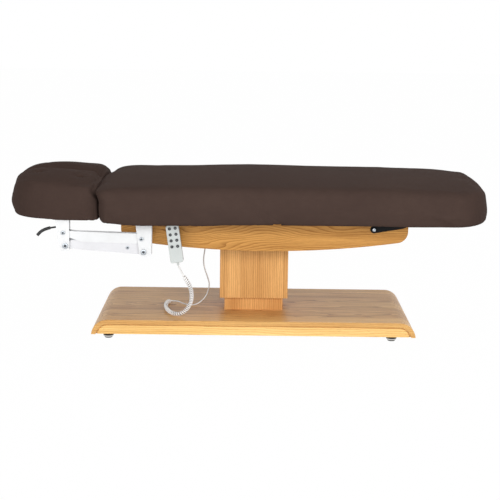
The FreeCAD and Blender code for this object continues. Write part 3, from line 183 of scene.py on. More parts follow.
def oak(name, grain, light, dark, pith, ring_pitch, seed, boards=None, coat=0.06, rough=0.46,
        figure=1.5, drift=0.20, stretch=(1.5, 5.0), board_tone=0.34, spec=0.12):
    """Varnished oak. grain is the axis along the board; pith is the tree's middle across the grain.
    boards is (axis, cuts): places where one board ends and the next starts. drift is how far the rings
    wander, over lengths that stretch gives as cycles in a metre, along and across. figure is the contrast."""
    m = Nodes(name)
    x, y, z = m.split(m.place())
    along, over, up = {"x": (x, y, z), "z": (z, x, y)}[grain]
    board = 0.0
    if boards:
        axis, cuts = boards
        cut_axis = {"x": x, "y": y}[axis]
        for cut in cuts:
            board = m.math("ADD", board, m.math("GREATER_THAN", cut_axis, cut))
    shift = m.math("MULTIPLY_ADD", board, 3.17, seed)
    run = m.math("ADD", along, shift)
    parts = (run, over, up)
    # Year rings round the pith, which wanders
    wander = m.noise(m.scaled(parts, (stretch[0], stretch[1], stretch[1])), 1.0, 2.0, 0.55)
    ripple = m.noise(m.scaled(parts, (5.0, 18.0, 18.0)), 1.0, 3.0, 0.6)
    lean = m.math("MULTIPLY_ADD", wander, drift, -drift / 2)
    a = m.math("ADD", m.math("SUBTRACT", over, pith[0]), m.math("MULTIPLY", board, 0.019))
    b = m.math("ADD", m.math("SUBTRACT", up, pith[1]), lean)
    reach = m.math("SQRT", m.math("ADD", m.math("MULTIPLY", a, a), m.math("MULTIPLY", b, b)))
    reach = m.math("MULTIPLY_ADD", ripple, 0.010, reach)
    ring = m.math("FRACT", m.math("DIVIDE", reach, ring_pitch))
    grown = m.ramp(ring, [(0.0, 0.05), (0.55, 0.30), (0.86, 0.85), (0.97, 1.0), (1.0, 0.05)])
    # Fibres, pores and slow changes of tone, all long along the grain
    fibre = m.noise(m.scaled(parts, (9.0, 420.0, 420.0)), 1.0, 3.0, 0.65)
    pore = m.noise(m.scaled(parts, (55.0, 1500.0, 1500.0)), 1.0, 1.0, 0.5)
    pore = m.ramp(pore, [(0.30, 1.0), (0.43, 0.0)])
    pore = m.math("MULTIPLY", pore, m.math("MULTIPLY_ADD", grown, 0.75, 0.25))
    tone = m.noise(m.scaled(parts, (1.1, 9.0, 9.0)), 1.0, 2.0, 0.5)
    band = m.noise(m.scaled(parts, (2.2, 75.0, 75.0)), 1.0, 3.0, 0.6)
    tone = m.math("MULTIPLY_ADD", band, 0.8, m.math("SUBTRACT", tone, 0.4))
    fibre_share = m.math("MULTIPLY_ADD", fibre, 0.6 * figure, -0.46 * figure)
    share = m.math("MULTIPLY_ADD", grown, 0.42 * figure, fibre_share)
    share = m.math("ADD", share, m.math("MULTIPLY_ADD", tone, 0.7 * figure, 0.5 - 0.35 * figure))
    if boards:
        odd = m.math("FRACT", m.math("MULTIPLY", board, 0.382))
        share = m.math("ADD", share, m.math("MULTIPLY_ADD", odd, board_tone, -board_tone / 2))
    colour = m.mix(m.range(share, 0.0, 1.0, 0.0, 1.0), light, dark)
    darker = shaded(dark, 0.42)
    colour = m.mix(m.math("MULTIPLY", pore, 0.55), colour, darker)
    if boards:
        # A thin dark line at each joint
        line = None
        for cut in cuts:
            near = m.math("ABSOLUTE", m.math("SUBTRACT", cut_axis, cut))
            mark = m.range(near, 0.0003, 0.0011, 1.0, 0.0)
            line = mark if line is None else m.math("MAXIMUM", line, mark)
        colour = m.mix(m.math("MULTIPLY", line, 0.35), colour, darker)
    height = m.math("SUBTRACT", m.math("MULTIPLY", fibre, 0.25), pore)
    shine = m.range(fibre, 0.2, 0.8, rough - 0.06, rough + 0.08)
    return m.finish(Base_Color=colour, Roughness=shine, Normal=m.bump(height, 0.22, 0.0006),
                    Coat_Weight=coat, Coat_Roughness=0.16, Specular_IOR_Level=spec)


def leatherette(name):
    """Matt leather cloth: small cells with darker seams between them."""
    m = Nodes(name)
    place = m.place()
    cells = m.add("ShaderNodeTexVoronoi", {"Vector": place, "Scale": 620.0}, feature="DISTANCE_TO_EDGE")
    grain = m.ramp(cells.outputs["Distance"], [(0.0, 0.0), (0.22, 0.85), (1.0, 1.0)])
    fine = m.noise(place, 1500.0, 2.0, 0.6)
    soft = m.noise(place, 3.2, 3.0, 0.55)
    patch = m.noise(place, 26.0, 3.0, 0.6)
    tone = m.math("MULTIPLY_ADD", patch, 0.35, m.math("MULTIPLY", soft, 0.65))
    colour = m.mix(m.range(tone, 0.3, 0.7, 0.0, 1.0), linear(68, 54, 49), linear(76, 61, 55))
    colour = m.mix(m.math("MULTIPLY", m.math("SUBTRACT", 1.0, grain), 0.45), colour, linear(40, 31, 28))
    height = m.math("MULTIPLY_ADD", fine, 0.25, grain)
    shine = m.range(m.math("ADD", patch, fine), 0.6, 1.4, 0.58, 0.72)
    normal = m.bump(height, 0.30, 0.00025)
    normal = m.bump(patch, 0.10, 0.004, normal)
    return m.finish(Base_Color=colour, Roughness=shine, Normal=normal, Specular_IOR_Level=0.008)


def coated(name, colour, rough, peel=0.12, speck=0.0, spec=0.5, painted_shade_from=None):
    """Powder coat, moulded plastic or rubber: a fine surface and slight unevenness. painted_shade_from is a
    value kept on the mesh that paints shade, darkening the colour where it is low."""
    m = Nodes(name)
    place = m.place()
    peel_at = m.noise(place, 420.0, 2.0, 0.5)
    broad = m.noise(place, 14.0, 3.0, 0.6)
    fine = m.noise(place, 1900.0, 1.0, 0.5)
    tone = m.mix(m.range(broad, 0.3, 0.7, 0.0, 1.0), colour, shaded(colour, 0.93))
    if speck:
        dot = m.ramp(fine, [(0.62, 0.0), (0.72, 1.0)])
        tone = m.mix(m.math("MULTIPLY", dot, speck), tone, shaded(colour, 0.7))
    # Painted shade kept on the mesh darkens the colour where its value is low
    if painted_shade_from:
        kept = m.add("ShaderNodeAttribute", attribute_name=painted_shade_from).outputs["Fac"]
        tone = m.mix(kept, shaded(colour, 0.25), tone)
    shine = m.range(broad, 0.2, 0.8, max(rough - 0.05, 0.02), rough + 0.05)
    height = m.math("MULTIPLY_ADD", fine, 0.3, peel_at)
    return m.finish(Base_Color=tone, Roughness=shine, Specular_IOR_Level=spec,
                    Normal=m.bump(height, peel, 0.0004))


def metal(name, colour, rough, spread=(200.0, 200.0, 200.0)):
    """Bare metal. spread is how many marks there are in a metre along each axis."""
    m = Nodes(name)
    mark = m.noise(m.scaled(m.split(m.place()), spread), 1.0, 3.0, 0.6)
    tone = m.mix(m.range(mark, 0.3, 0.7, 0.0, 1.0), colour, shaded(colour, 0.86))
    shine = m.range(mark, 0.2, 0.8, max(rough - 0.06, 0.03), rough + 0.08)
    return m.finish(Base_Color=tone, Roughness=shine, Metallic=1.0, Normal=m.bump(mark, 0.05, 0.0003))


def plated_foot_painted_light(name):
    """Polished steel whose colour holds painted light: dark for the rubber rim below, a band of painted
    reflection in the middle, and painted shade on the shoulder above, under the base.
    """
    m = Nodes(name)
    height = m.range(m.split(m.place())[2], 0.0, 0.020, 0.0, 1.0)
    dark, painted_reflection = linear(52, 48, 44), linear(212, 210, 206)
    # Dark below the first stop for the rim, painted reflection in the middle band, painted shade above it
    tone = m.mix(m.ramp(height, [(0.20, 0.0), (0.32, 1.0), (0.42, 1.0), (0.58, 0.0)]), dark, painted_reflection)
    return m.finish(Base_Color=tone, Roughness=0.14, Metallic=1.0)


# Materials
column_cuts = ("x", [-0.100, -0.036, 0.046, 0.138])
inner_cuts = ("x", [-0.030, 0.062])
base_cuts = ("y", [-0.205, -0.120, -0.038, 0.047, 0.128, 0.210])
oak_beam = oak("oak_beam", "x", linear(217, 161, 87), linear(142, 90, 36), (-0.16, 0.66), 0.0068, 1.3,
               figure=1.3, drift=0.19, stretch=(1.6, 5.0))
oak_column = oak("oak_column", "z", linear(230, 177, 112), linear(182, 128, 70), (0.36, -0.10), 0.0072, 4.1,
                 column_cuts, figure=1.8, drift=0.015, board_tone=0.12)
oak_inner = oak("oak_inner", "z", linear(228, 174, 108), linear(186, 128, 70), (0.33, -0.12), 0.0072, 8.7,
                inner_cuts, figure=1.8, drift=0.015, board_tone=0.12)
oak_top = oak("oak_top", "x", linear(250, 200, 128), linear(186, 126, 66), (0.0, -0.25), 0.0060, 2.6,
              base_cuts, coat=0.10, rough=0.40, figure=1.9, drift=0.16, stretch=(0.7, 8.0), spec=0.25)
oak_edge = oak("oak_edge", "x", linear(230, 187, 118), linear(182, 128, 70), (-0.20, 0.45), 0.0065, 5.9,
               figure=1.2, drift=0.04)
oak_apron = oak("oak_apron", "x", linear(252, 216, 146), linear(214, 164, 94), (-0.22, 0.40), 0.0085, 7.7,
                drift=0.06)
ply_dark = oak("ply_dark", "x", linear(58, 50, 45), linear(38, 32, 28), (0.0, 0.40), 0.0080, 3.3,
               coat=0.02, rough=0.6)
hide = leatherette("leatherette_brown")
white_coat = coated("white_coat", linear(222, 223, 224), 0.38, 0.10)
white_low = coated("white_coat_low", linear(214, 214, 217), 0.38, 0.10)
black_coat = coated("black_coat", linear(13, 13, 14), 0.48, 0.14, spec=0.12)
motor_black = coated("motor_black", linear(34, 34, 36), 0.5, 0.25, 0.3)
rubber_black = coated("rubber_black", linear(22, 22, 23), 0.55, 0.2)
handset_grey = coated("handset_grey", linear(191, 196, 194), 0.40, 0.10, 0.05)
# The rear shell's darker grey is partly its own colour and partly painted shade on the handset's side
handset_back_painted_shade = coated("handset_back_painted_shade", linear(150, 153, 155), 0.45, 0.10, 0.05)
button_black = coated("button_black", linear(30, 32, 34), 0.38, 0.10)
mark_grey = coated("mark_grey", linear(150, 154, 156), 0.5, 0.05)
# The cord is darkened by painted shade kept on its points, between the coil's turns and along the straight
# runs
cord_white = coated("cord_white", linear(244, 242, 240), 0.42, 0.08, painted_shade_from="painted_turn_shade")
zinc = metal("zinc", linear(178, 184, 190), 0.30)
# Painted shade for the bolts' socket recesses
socket_painted_shade = coated("socket_painted_shade", linear(52, 54, 58), 0.45, 0.1)
# The feet carry painted reflection and painted shade in their colour
foot_steel_painted_light = plated_foot_painted_light("foot_steel_painted_light")
drawn_steel = metal("drawn_steel", linear(168, 170, 174), 0.32, (900.0, 40.0, 40.0))


# What each CAD piece is made of
def dress(material, *names):
    """Gives these pieces one material."""
    for name in names:
        slots = nodes[name].data.materials
        slots.clear()
        slots.append(material)


def dress_more(name, material, chooser):
    """Gives the faces that the chooser picks another material. It gets a face's middle and normal."""
    mesh = nodes[name].data
    mesh.materials.append(material)
    index = len(mesh.materials) - 1
    for face in mesh.polygons:
        if chooser(face.center, face.normal):
            face.material_index = index


dress(oak_beam, "front_beam", "rear_beam")
dress(oak_column, "column_outer_sleeve")
dress(oak_inner, "column_inner_sleeve")
dress(oak_top, "base_top_panel", "base_rails")
dress_more("base_top_panel", oak_edge, lambda c, n: abs(n.y) > 0.9)
dress(oak_apron, "base_aprons")
dress(ply_dark, "seat_deck", "back_deck", "leg_deck", "head_deck")
dress(black_coat, "cross_rails", "back_rails", "leg_hinge_plates", "handset_hook", "lift_lower_column",
      "lift_upper_column")
dress(motor_black, "lift_actuator_body", "back_actuator_body", "leg_actuator_body", "control_box",
      "cord_gland", "gas_spring_cylinder")
dress(drawn_steel, "lift_actuator_rod", "back_actuator_rod", "leg_actuator_rod", "gas_spring_rod")
dress(zinc, "back_pivot_shaft", "leg_pivot_shaft", "bracket_pins", "carrier_pins")
dress_more("leg_pivot_shaft", black_coat, lambda c, n: abs(c.y) > 0.2405)
dress(white_coat, "head_upper_links", "head_brackets", "head_carriers")
dress(white_low, "head_lower_links")
dress(rubber_black, "release_lever")
dress(handset_grey, "handset_front_shell", "handset_strain_relief")
dress(handset_back_painted_shade, "handset_rear_shell")
for i in range(1, 9):
    dress(button_black, "handset_button_%d" % i)
for name in ("front_head", "front_leg", "rear_head", "rear_leg"):
    dress(foot_steel_painted_light, "levelling_foot_" + name)
    # Low faces take the rubber pad's black; high faces take it as painted shade under the base
    dress_more("levelling_foot_" + name, rubber_black, lambda c, n: c.z < 0.0032 or c.z > 0.0175)


def mesh_piece(name, points, faces, material, soft=True):
    """A piece of these points and faces, shaded smooth when it is soft."""
    mesh = bpy.data.meshes.new(name)
    mesh.from_pydata([tuple(p) for p in points], [], faces)
    mesh.validate()
    mesh.update()
    piece = bpy.data.objects.new(name, mesh)
    scene.collection.objects.link(piece)
    mesh.materials.append(material)
    if soft:
        mesh.polygons.foreach_set("use_smooth", [True] * len(mesh.polygons))
    return piece


def ring_strips(rows, around):
    """The faces between rings of points that follow each other."""
    faces = []
    for i in range(rows - 1):
        for k in range(around):
            n = (k + 1) % around
            faces.append((i * around + k, i * around + n, (i + 1) * around + n, (i + 1) * around + k))
    return faces


# Handset cord: one route from the handset's relief to the gland; the coil's turns wind round its middle
# stretch. The handset hangs at a slant, and down and across are its own directions.
cord_radius = 0.0026
# Painted shade that greys the straight runs of cord all over
straight_shade = 0.30
slant = math.radians(8.06)
down = Vector((math.sin(slant), 0, -math.cos(slant)))
across = Vector((math.cos(slant), 0, math.sin(slant)))
handset_top = Vector((-0.2979, -0.288, 0.4603))
relief_tip = handset_top + across * 0.002 + down * 0.160
coil_points = [(-0.2655, -0.2875, 0.2855), (-0.258, -0.2865, 0.2705), (-0.2496, -0.285, 0.2534),
               (-0.2325, -0.277, 0.226), (-0.2245, -0.266, 0.1997), (-0.2227, -0.252, 0.1725),
               (-0.2265, -0.238, 0.1448), (-0.2385, -0.226, 0.1185), (-0.255, -0.222, 0.0995),
               (-0.276, -0.2225, 0.0916), (-0.301, -0.21, 0.0916), (-0.321, -0.165, 0.0916),
               (-0.3335, -0.105, 0.0916), (-0.3365, -0.055, 0.0916), (-0.333, -0.018, 0.0916),
               (-0.32, 0.003, 0.0916), (-0.299, -0.004, 0.0916)]
tail_points = [(-0.269, -0.022, 0.0864), (-0.251, -0.0365, 0.0852), (-0.2305, -0.044, 0.0852),
               (-0.2095, -0.04, 0.0895), (-0.1885, -0.0305, 0.1035), (-0.1725, -0.0225, 0.1235),
               (-0.1635, -0.015, 0.148), (-0.1625, -0.009, 0.1715), (-0.17, -0.005, 0.1955),
               (-0.18, -0.002, 0.2215), (-0.1867, -0.0005, 0.2475), (-0.1866, 0, 0.2765),
               (-0.182, 0, 0.305), (-0.178, 0, 0.331), (-0.178, 0, 0.365)]
coil_points = [Vector(p) for p in coil_points]
lead = (coil_points[1] - coil_points[0]).normalized()
leave = (coil_points[-1] - coil_points[-2]).normalized()
route = [relief_tip, relief_tip + down * 0.006, coil_points[0] - lead * 0.006]
route += coil_points
route += [coil_points[-1] + leave * 0.012]
route += [Vector(p) for p in tail_points]


def read_spline(points):
    """The points of a smooth curve that has these control points."""
    curve = bpy.data.curves.new("route", "CURVE")
    curve.dimensions = "3D"
    curve.resolution_u = 24
    spline = curve.splines.new("NURBS")
    spline.points.add(len(points) - 1)
    for slot, point in zip(spline.points, points):
        slot.co = (*point, 1)
    spline.order_u = 3
    spline.use_endpoint_u = True
    holder = bpy.data.objects.new("route", curve)
    scene.collection.objects.link(holder)
    bpy.context.view_layer.update()
    line = bpy.data.meshes.new_from_object(holder.evaluated_get(bpy.context.evaluated_depsgraph_get()))
    out = np.array([v.co for v in line.vertices], float)
    bpy.data.objects.remove(holder)
    bpy.data.meshes.remove(line)
    return out


def measured(points):
    """The distance along a line at each of its points."""
    steps = np.linalg.norm(np.diff(points, axis=0), axis=1)
    return np.concatenate([[0.0], np.cumsum(steps)])


def carried_frames(points):
    """Headings and side directions along a line, with no needless twist."""
    heads = np.gradient(points, axis=0)
    heads /= np.linalg.norm(heads, axis=1)[:, None]
    side = np.cross(heads[0], (0.0, 1.0, 0.0))
    sides = []
    for head in heads:
        side = side - head * np.dot(side, head)
        side = side / np.linalg.norm(side)
        sides.append(side)
    return heads, np.array(sides)


line = read_spline(route)
keep = np.concatenate([[True], np.linalg.norm(np.diff(line, axis=0), axis=1) > 1e-7])
line = line[keep]
stations = measured(line)
heads, sides = carried_frames(line)


def on_line(s):
    """The place at a distance along the route, and two directions square to it."""
    place, head, side = [np.array([np.interp(s, stations, table[:, k]) for k in range(3)])
                         for table in (line, heads, sides)]
    head /= np.linalg.norm(head)
    side -= head * np.dot(side, head)
    side /= np.linalg.norm(side)
    return place, side, np.cross(head, side)


def nearest_station(point):
    """The distance along the route where it comes nearest to a point."""
    return stations[np.argmin(np.linalg.norm(line - np.array(point), axis=1))]


coil_from = nearest_station(coil_points[1]) + 0.005
coil_to = nearest_station(coil_points[-2]) + 0.004
coil_turns = 53
per_turn = 24
coil_ramp = 1.2
coil_lead = 0.016
coil_radius = 0.0058


def coil_state(step, pitch_now):
    """The coil's radius and pitch at a step; it starts and ends with a ramp of some turns."""
    turns = step / per_turn
    grown = float(min(smooth(turns / coil_ramp), smooth((coil_turns - turns) / coil_ramp)))
    return coil_radius * grown, pitch_now + (coil_lead - pitch_now) * (1 - grown)


# The pitch that fills the coil's stretch, by halving
low_pitch, high_pitch = 0.004, coil_lead
for _ in range(50):
    coil_pitch = (low_pitch + high_pitch) / 2
    gone = sum(coil_state(k + 0.5, coil_pitch)[1] / per_turn for k in range(coil_turns * per_turn))
    if gone > coil_to - coil_from:
        high_pitch = coil_pitch
    else:
        low_pitch = coil_pitch

cord_path = [on_line(s)[0] for s in np.arange(0.0, coil_from - 0.001, 0.003)]
cord_middle = list(cord_path)
s = coil_from
for k in range(coil_turns * per_turn + 1):
    radius, _ = coil_state(k, coil_pitch)
    place, side, other = on_line(s)
    angle = 2 * math.pi * k / per_turn
    cord_path.append(place + radius * (math.cos(angle) * side + math.sin(angle) * other))
    cord_middle.append(place)
    s += coil_state(k + 0.5, coil_pitch)[1] / per_turn
cord_path += [on_line(s)[0] for s in np.arange(coil_to + 0.002, stations[-1] - 0.001, 0.004)]
cord_path.append(line[-1])
cord_middle += cord_path[len(cord_middle):]
cord_path = np.array(cord_path)


def tube_piece(name, path, radius, material, middle, around=10):
    """A tube along a path, with painted shade kept on its points: those that face its middle line are darker,
    as shade falls between the turns, and straight runs are greyed all over.
    """
    heads_here, sides_here = carried_frames(path)
    points, faces, painted_shade_tones = [], [], []
    for place, head, side, core in zip(path, heads_here, sides_here, middle):
        other = np.cross(head, side)
        outward = place - core
        reach = np.linalg.norm(outward)
        for k in range(around):
            angle = 2 * math.pi * k / around
            spoke = math.cos(angle) * side + math.sin(angle) * other
            points.append(place + radius * spoke)
            facing = float(np.dot(spoke, outward)) / reach if reach > 0.001 else 1.0
            # Painted shade: straight runs are greyed all over, and points facing the coil's middle are
            # darkened between the turns
            plain_shade = straight_shade * max(0.0, 1 - reach / 0.003)
            shade = (1 - float(smooth((facing + 0.45) / 1.10))) * min(1.0, reach / coil_radius)
            painted_shade_tones.append(1 - max(shade, plain_shade))
    for i in range(len(path) - 1):
        for k in range(around):
            n = (k + 1) % around
            faces.append((i * around + n, (i + 1) * around + n, (i + 1) * around + k, i * around + k))
    faces.append(tuple(range(around))[::-1])
    last = (len(path) - 1) * around
    faces.append(tuple(last + k for k in range(around)))
    piece = mesh_piece(name, points, faces, material)
    layer = piece.data.attributes.new("painted_turn_shade", "FLOAT", "POINT")
    layer.data.foreach_set("value", painted_shade_tones)
    return piece


cord = tube_piece("handset_cord", cord_path, cord_radius, cord_white, cord_middle)
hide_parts("cord_upper_tail", "cord_coil", "cord_lower_tail")
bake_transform(cord)


# Cushions: rings across the bed, joined along it, with a grid over each end
def cushion_ring(x, w, low, edge, top, low_round, top_round, across_count, side_counts, bulge=0.006):
    """Points of one section: underside, near side up, top, far side down. top gives the height above the
    edge at a share of the half width. The counts are points across and, up a side, in its three stretches."""
    room = (edge - low) / (low_round + top_round)
    squeeze = min(1.0, 0.9 * room)
    low_round *= squeeze
    top_round *= squeeze
    side_y = w - bulge
    n = across_count
    under = [(-1 + k / n) * (side_y - low_round) for k in range(2 * n + 1)]
    ring = [(x, y, low) for y in under]
    side = []
    for k in range(1, side_counts[0] + 1):
        a = math.pi / 2 * k / side_counts[0]
        z = low + low_round - low_round * math.cos(a)
        side.append((side_y - low_round + low_round * math.sin(a), z))
    for k in range(1, side_counts[1] + 1):
        t = k / side_counts[1]
        z = low + low_round + t * (edge - top_round - low - low_round)
        side.append((side_y + bulge * 4 * t * (1 - t), z))
    for k in range(1, side_counts[2]):
        a = math.pi / 2 * k / side_counts[2]
        z = edge - top_round + top_round * math.sin(a)
        side.append((side_y - top_round + top_round * math.cos(a), z))
    ring += [(x, y, z) for y, z in side]
    over = [(1 - k / n) for k in range(2 * n + 1)]
    ring += [(x, t * (side_y - top_round), edge + top(t)) for t in over]
    ring += [(x, -y, z) for y, z in reversed(side)]
    return np.array(ring)


def cushion_faces(rings, across_count, side_counts, swells):
    """Joins the rings and closes both ends with a grid; each end swells outward by its own amount."""
    count = len(rings[0])
    points = [p for ring in rings for p in ring]
    faces = ring_strips(len(rings), count)
    columns = 2 * across_count + 1
    side_count = sum(side_counts) - 1
    top_start = columns + side_count
    for base, outward in ((0, -1), ((len(rings) - 1) * count, 1)):
        ring, swell = (rings[0], swells[0]) if base == 0 else (rings[-1], swells[1])
        grid = []
        for row in range(side_count + 2):
            line_ids = []
            for column in range(columns):
                if row == 0:
                    line_ids.append(base + column)
                elif row == side_count + 1:
                    line_ids.append(base + top_start + columns - 1 - column)
                elif column == columns - 1:
                    line_ids.append(base + columns + row - 1)
                elif column == 0:
                    line_ids.append(base + count - row)
                else:
                    near = ring[columns + row - 1]
                    low_point = ring[column]
                    high_point = ring[top_start + columns - 1 - column]
                    t = (near[2] - ring[0][2]) / (ring[top_start][2] - ring[0][2])
                    u = 2 * column / (columns - 1) - 1
                    y = u * abs(near[1])
                    z = low_point[2] + (high_point[2] - low_point[2]) * t
                    proud = swell * (1 - (2 * t - 1) ** 2) ** 0.5 * (1 - u ** 8)
                    line_ids.append(len(points))
                    points.append(np.array((near[0] + outward * proud, y, z)))
            grid.append(line_ids)
        for row in range(side_count + 1):
            for column in range(columns - 1):
                lower, upper = grid[row], grid[row + 1]
                face = (lower[column], lower[column + 1], upper[column + 1], upper[column])
                faces.append(face if outward > 0 else face[::-1])
    return np.array(points), faces


def drawn_in(amount, run, e):
    """How far a rounded end draws in at a distance e from it, over its run."""
    if e >= run:
        return 0.0
    return amount * (1 - math.sqrt(1 - (1 - e / run) ** 2))


def end_steps(run, count):
    """Distances from an end, closer together near it."""
    return [run * (1 - math.cos(math.pi / 2 * k / count)) for k in range(count + 1)]


def plan_half(half_width, run, power, e):
    """Half the width at a distance e from a rounded end."""
    if e >= run:
        return half_width
    return max(0.070, half_width * (1 - (1 - e / run) ** power) ** (1 / power))


# The mattress: its ends, half width, height at rest and the height of its upper edge along the bed
mattress_head = -0.594
mattress_foot = 0.940
mattress_half = 0.385
mattress_low = 0.4745
mattress_across = 24
mattress_sides = (4, 8, 6)
foot_run = 0.1757
split_x = 0.320
rise_xs = [-0.600, -0.465, -0.250, -0.127, 0.0, 0.127, 0.250, 0.550, 0.720, 0.800, 0.960]
rise_zs = [0.0, 0.005, 0.0085, 0.012, 0.0145, 0.013, 0.011, 0.010, 0.005, 0.002, 0.0]


def far_lean(ring):
    """How far the meeting of headrest and mattress leans toward the foot, high up on the far side."""
    return 0.012 * smooth((ring[:, 1] - 0.02) / 0.20) * smooth((ring[:, 2] - 0.550) / 0.030)


def mattress_ring(x):
    """The mattress's section at a place along the bed."""
    head = max(0.0, x - mattress_head)
    foot = max(0.0, mattress_foot - x)
    w = min(mattress_half - drawn_in(0.085, 0.045, head), plan_half(mattress_half, foot_run, 2.23, foot))
    low = mattress_low + drawn_in(0.006, 0.030, head) + drawn_in(0.040, 0.0300, foot)
    edge = 0.600 + np.interp(x, rise_xs, rise_zs)
    edge = edge - drawn_in(0.015, 0.105, head) - drawn_in(0.068, 0.0586, foot)
    crown = 0.012 * (w / mattress_half) ** 2
    ring = cushion_ring(x, w, low, edge, lambda t: crown * (1 - t * t), 0.022, 0.040,
                        mattress_across, mattress_sides)
    under_lip = 0.023 * (1 - smooth((ring[:, 2] - 0.550) / 0.038))
    ring[:, 0] += (under_lip + far_lean(ring)) * max(0.0, 1 - head / 0.090)
    return ring


mattress_xs = [mattress_head + e for e in end_steps(0.090, 14)]
mattress_xs += list(np.linspace(-0.504, split_x, 66)[1:])
mattress_xs += list(np.linspace(split_x, 0.7643, 37)[1:])
mattress_xs += [mattress_foot - e for e in end_steps(foot_run, 20)[::-1]][1:]
mattress_rings = [mattress_ring(x) for x in mattress_xs]
mattress_points, mattress_quads = cushion_faces(mattress_rings, mattress_across, mattress_sides, (0.0, 0.003))


def settle(points, faces, held, slack, name, cap=0.004, pressure=1.2):
    """Blows the cover up as cloth, holding the chosen points; no point moves further than the cap."""
    piece = mesh_piece(name, points, faces, hide)
    group = piece.vertex_groups.new(name="held")
    group.add([int(i) for i in np.flatnonzero(held)], 1.0, "REPLACE")
    cloth = piece.modifiers.new("cloth", "CLOTH")
    cloth.settings.quality = 6
    cloth.settings.mass = 0.4
    cloth.settings.tension_stiffness = 18
    cloth.settings.compression_stiffness = 18
    cloth.settings.shear_stiffness = 8
    cloth.settings.bending_stiffness = 0.8
    cloth.settings.shrink_min = -slack
    cloth.settings.use_pressure = True
    cloth.settings.uniform_pressure_force = pressure
    cloth.settings.vertex_group_mass = "held"
    cloth.settings.effector_weights.gravity = 0
    cloth.collision_settings.use_collision = False
    for step in range(1, 21):
        scene.frame_set(step)
    bpy.context.view_layer.update()
    done = piece.evaluated_get(bpy.context.evaluated_depsgraph_get()).to_mesh()
    moved = np.array([v.co for v in done.vertices], float)
    start = np.array(points, float)
    step = moved - start
    size = np.linalg.norm(step, axis=1)[:, None]
    step = step * np.minimum(1.0, cap / np.maximum(size, 1e-9))
    scene.frame_set(1)
    mesh = piece.data
    bpy.data.objects.remove(piece)
    bpy.data.meshes.remove(mesh)
    return start + step


def subdivided(name, points, faces, material):
    """A piece of these faces, made twice as fine and rounded."""
    piece = mesh_piece(name, points, faces, material)
    finer = piece.modifiers.new("finer", "SUBSURF")
    finer.levels = 1
    finer.render_levels = 1
    done = bpy.data.meshes.new_from_object(piece.evaluated_get(bpy.context.evaluated_depsgraph_get()))
    coarse = piece.data
    piece.data = done
    piece.modifiers.clear()
    bpy.data.meshes.remove(coarse)
    piece.data.name = name
    piece.data.polygons.foreach_set("use_smooth", [True] * len(piece.data.polygons))
    return piece


under = mattress_points[:, 2] < 0.4770
mattress_points = settle(mattress_points, mattress_quads, under, 0.004, "mattress_cover")


def fold_lines(p, places, low_z, high_z):
    """How far the cover draws in at tuck wrinkles: each is (x at the hem, lean, width, depth)."""
    rise = np.clip((p[:, 2] - low_z) / (high_z - low_z), 0, 1)
    out = np.zeros(len(p))
    for x, lean, width, depth in places:
        away = (p[:, 0] - (x + lean * rise)) / (width * (0.6 + 0.8 * rise))
        out += depth * np.exp(-away * away) * (1 - smooth(rise)) * (1 - 0.4 * bell(rise, 0.05, 0.05))
    return out


def read_points(piece):
    """A mesh's points and the normals there."""
    points = np.array([v.co for v in piece.data.vertices], float)
    return points, np.array([v.normal for v in piece.data.vertices], float)


def write_points(piece, points):
    """Moves a mesh's points to these places."""
    for vertex, point in zip(piece.data.vertices, points):
        vertex.co = point
    piece.data.update()


# How far the cover hangs below its board along the sides
hem_xs = [-0.600, -0.540, -0.505, -0.480, -0.440, -0.405, -0.360, -0.290, -0.222, -0.185, -0.140, -0.100,
          -0.030, 0.030, 0.105, 0.160, 0.300, 0.500, 0.592, 0.660, 0.720, 0.760, 0.820, 0.900]
hem_sags = [0.0, 0.0005, 0.003, 0.0060, 0.0078, 0.0090, 0.0076, 0.0068, 0.0066, 0.0074, 0.0055, 0.0030,
            0.0020, 0.0010, -0.0035, -0.0005, 0.0, 0.0002, 0.0018, 0.0012, 0.0004, 0.0004, 0.0004, 0.0]


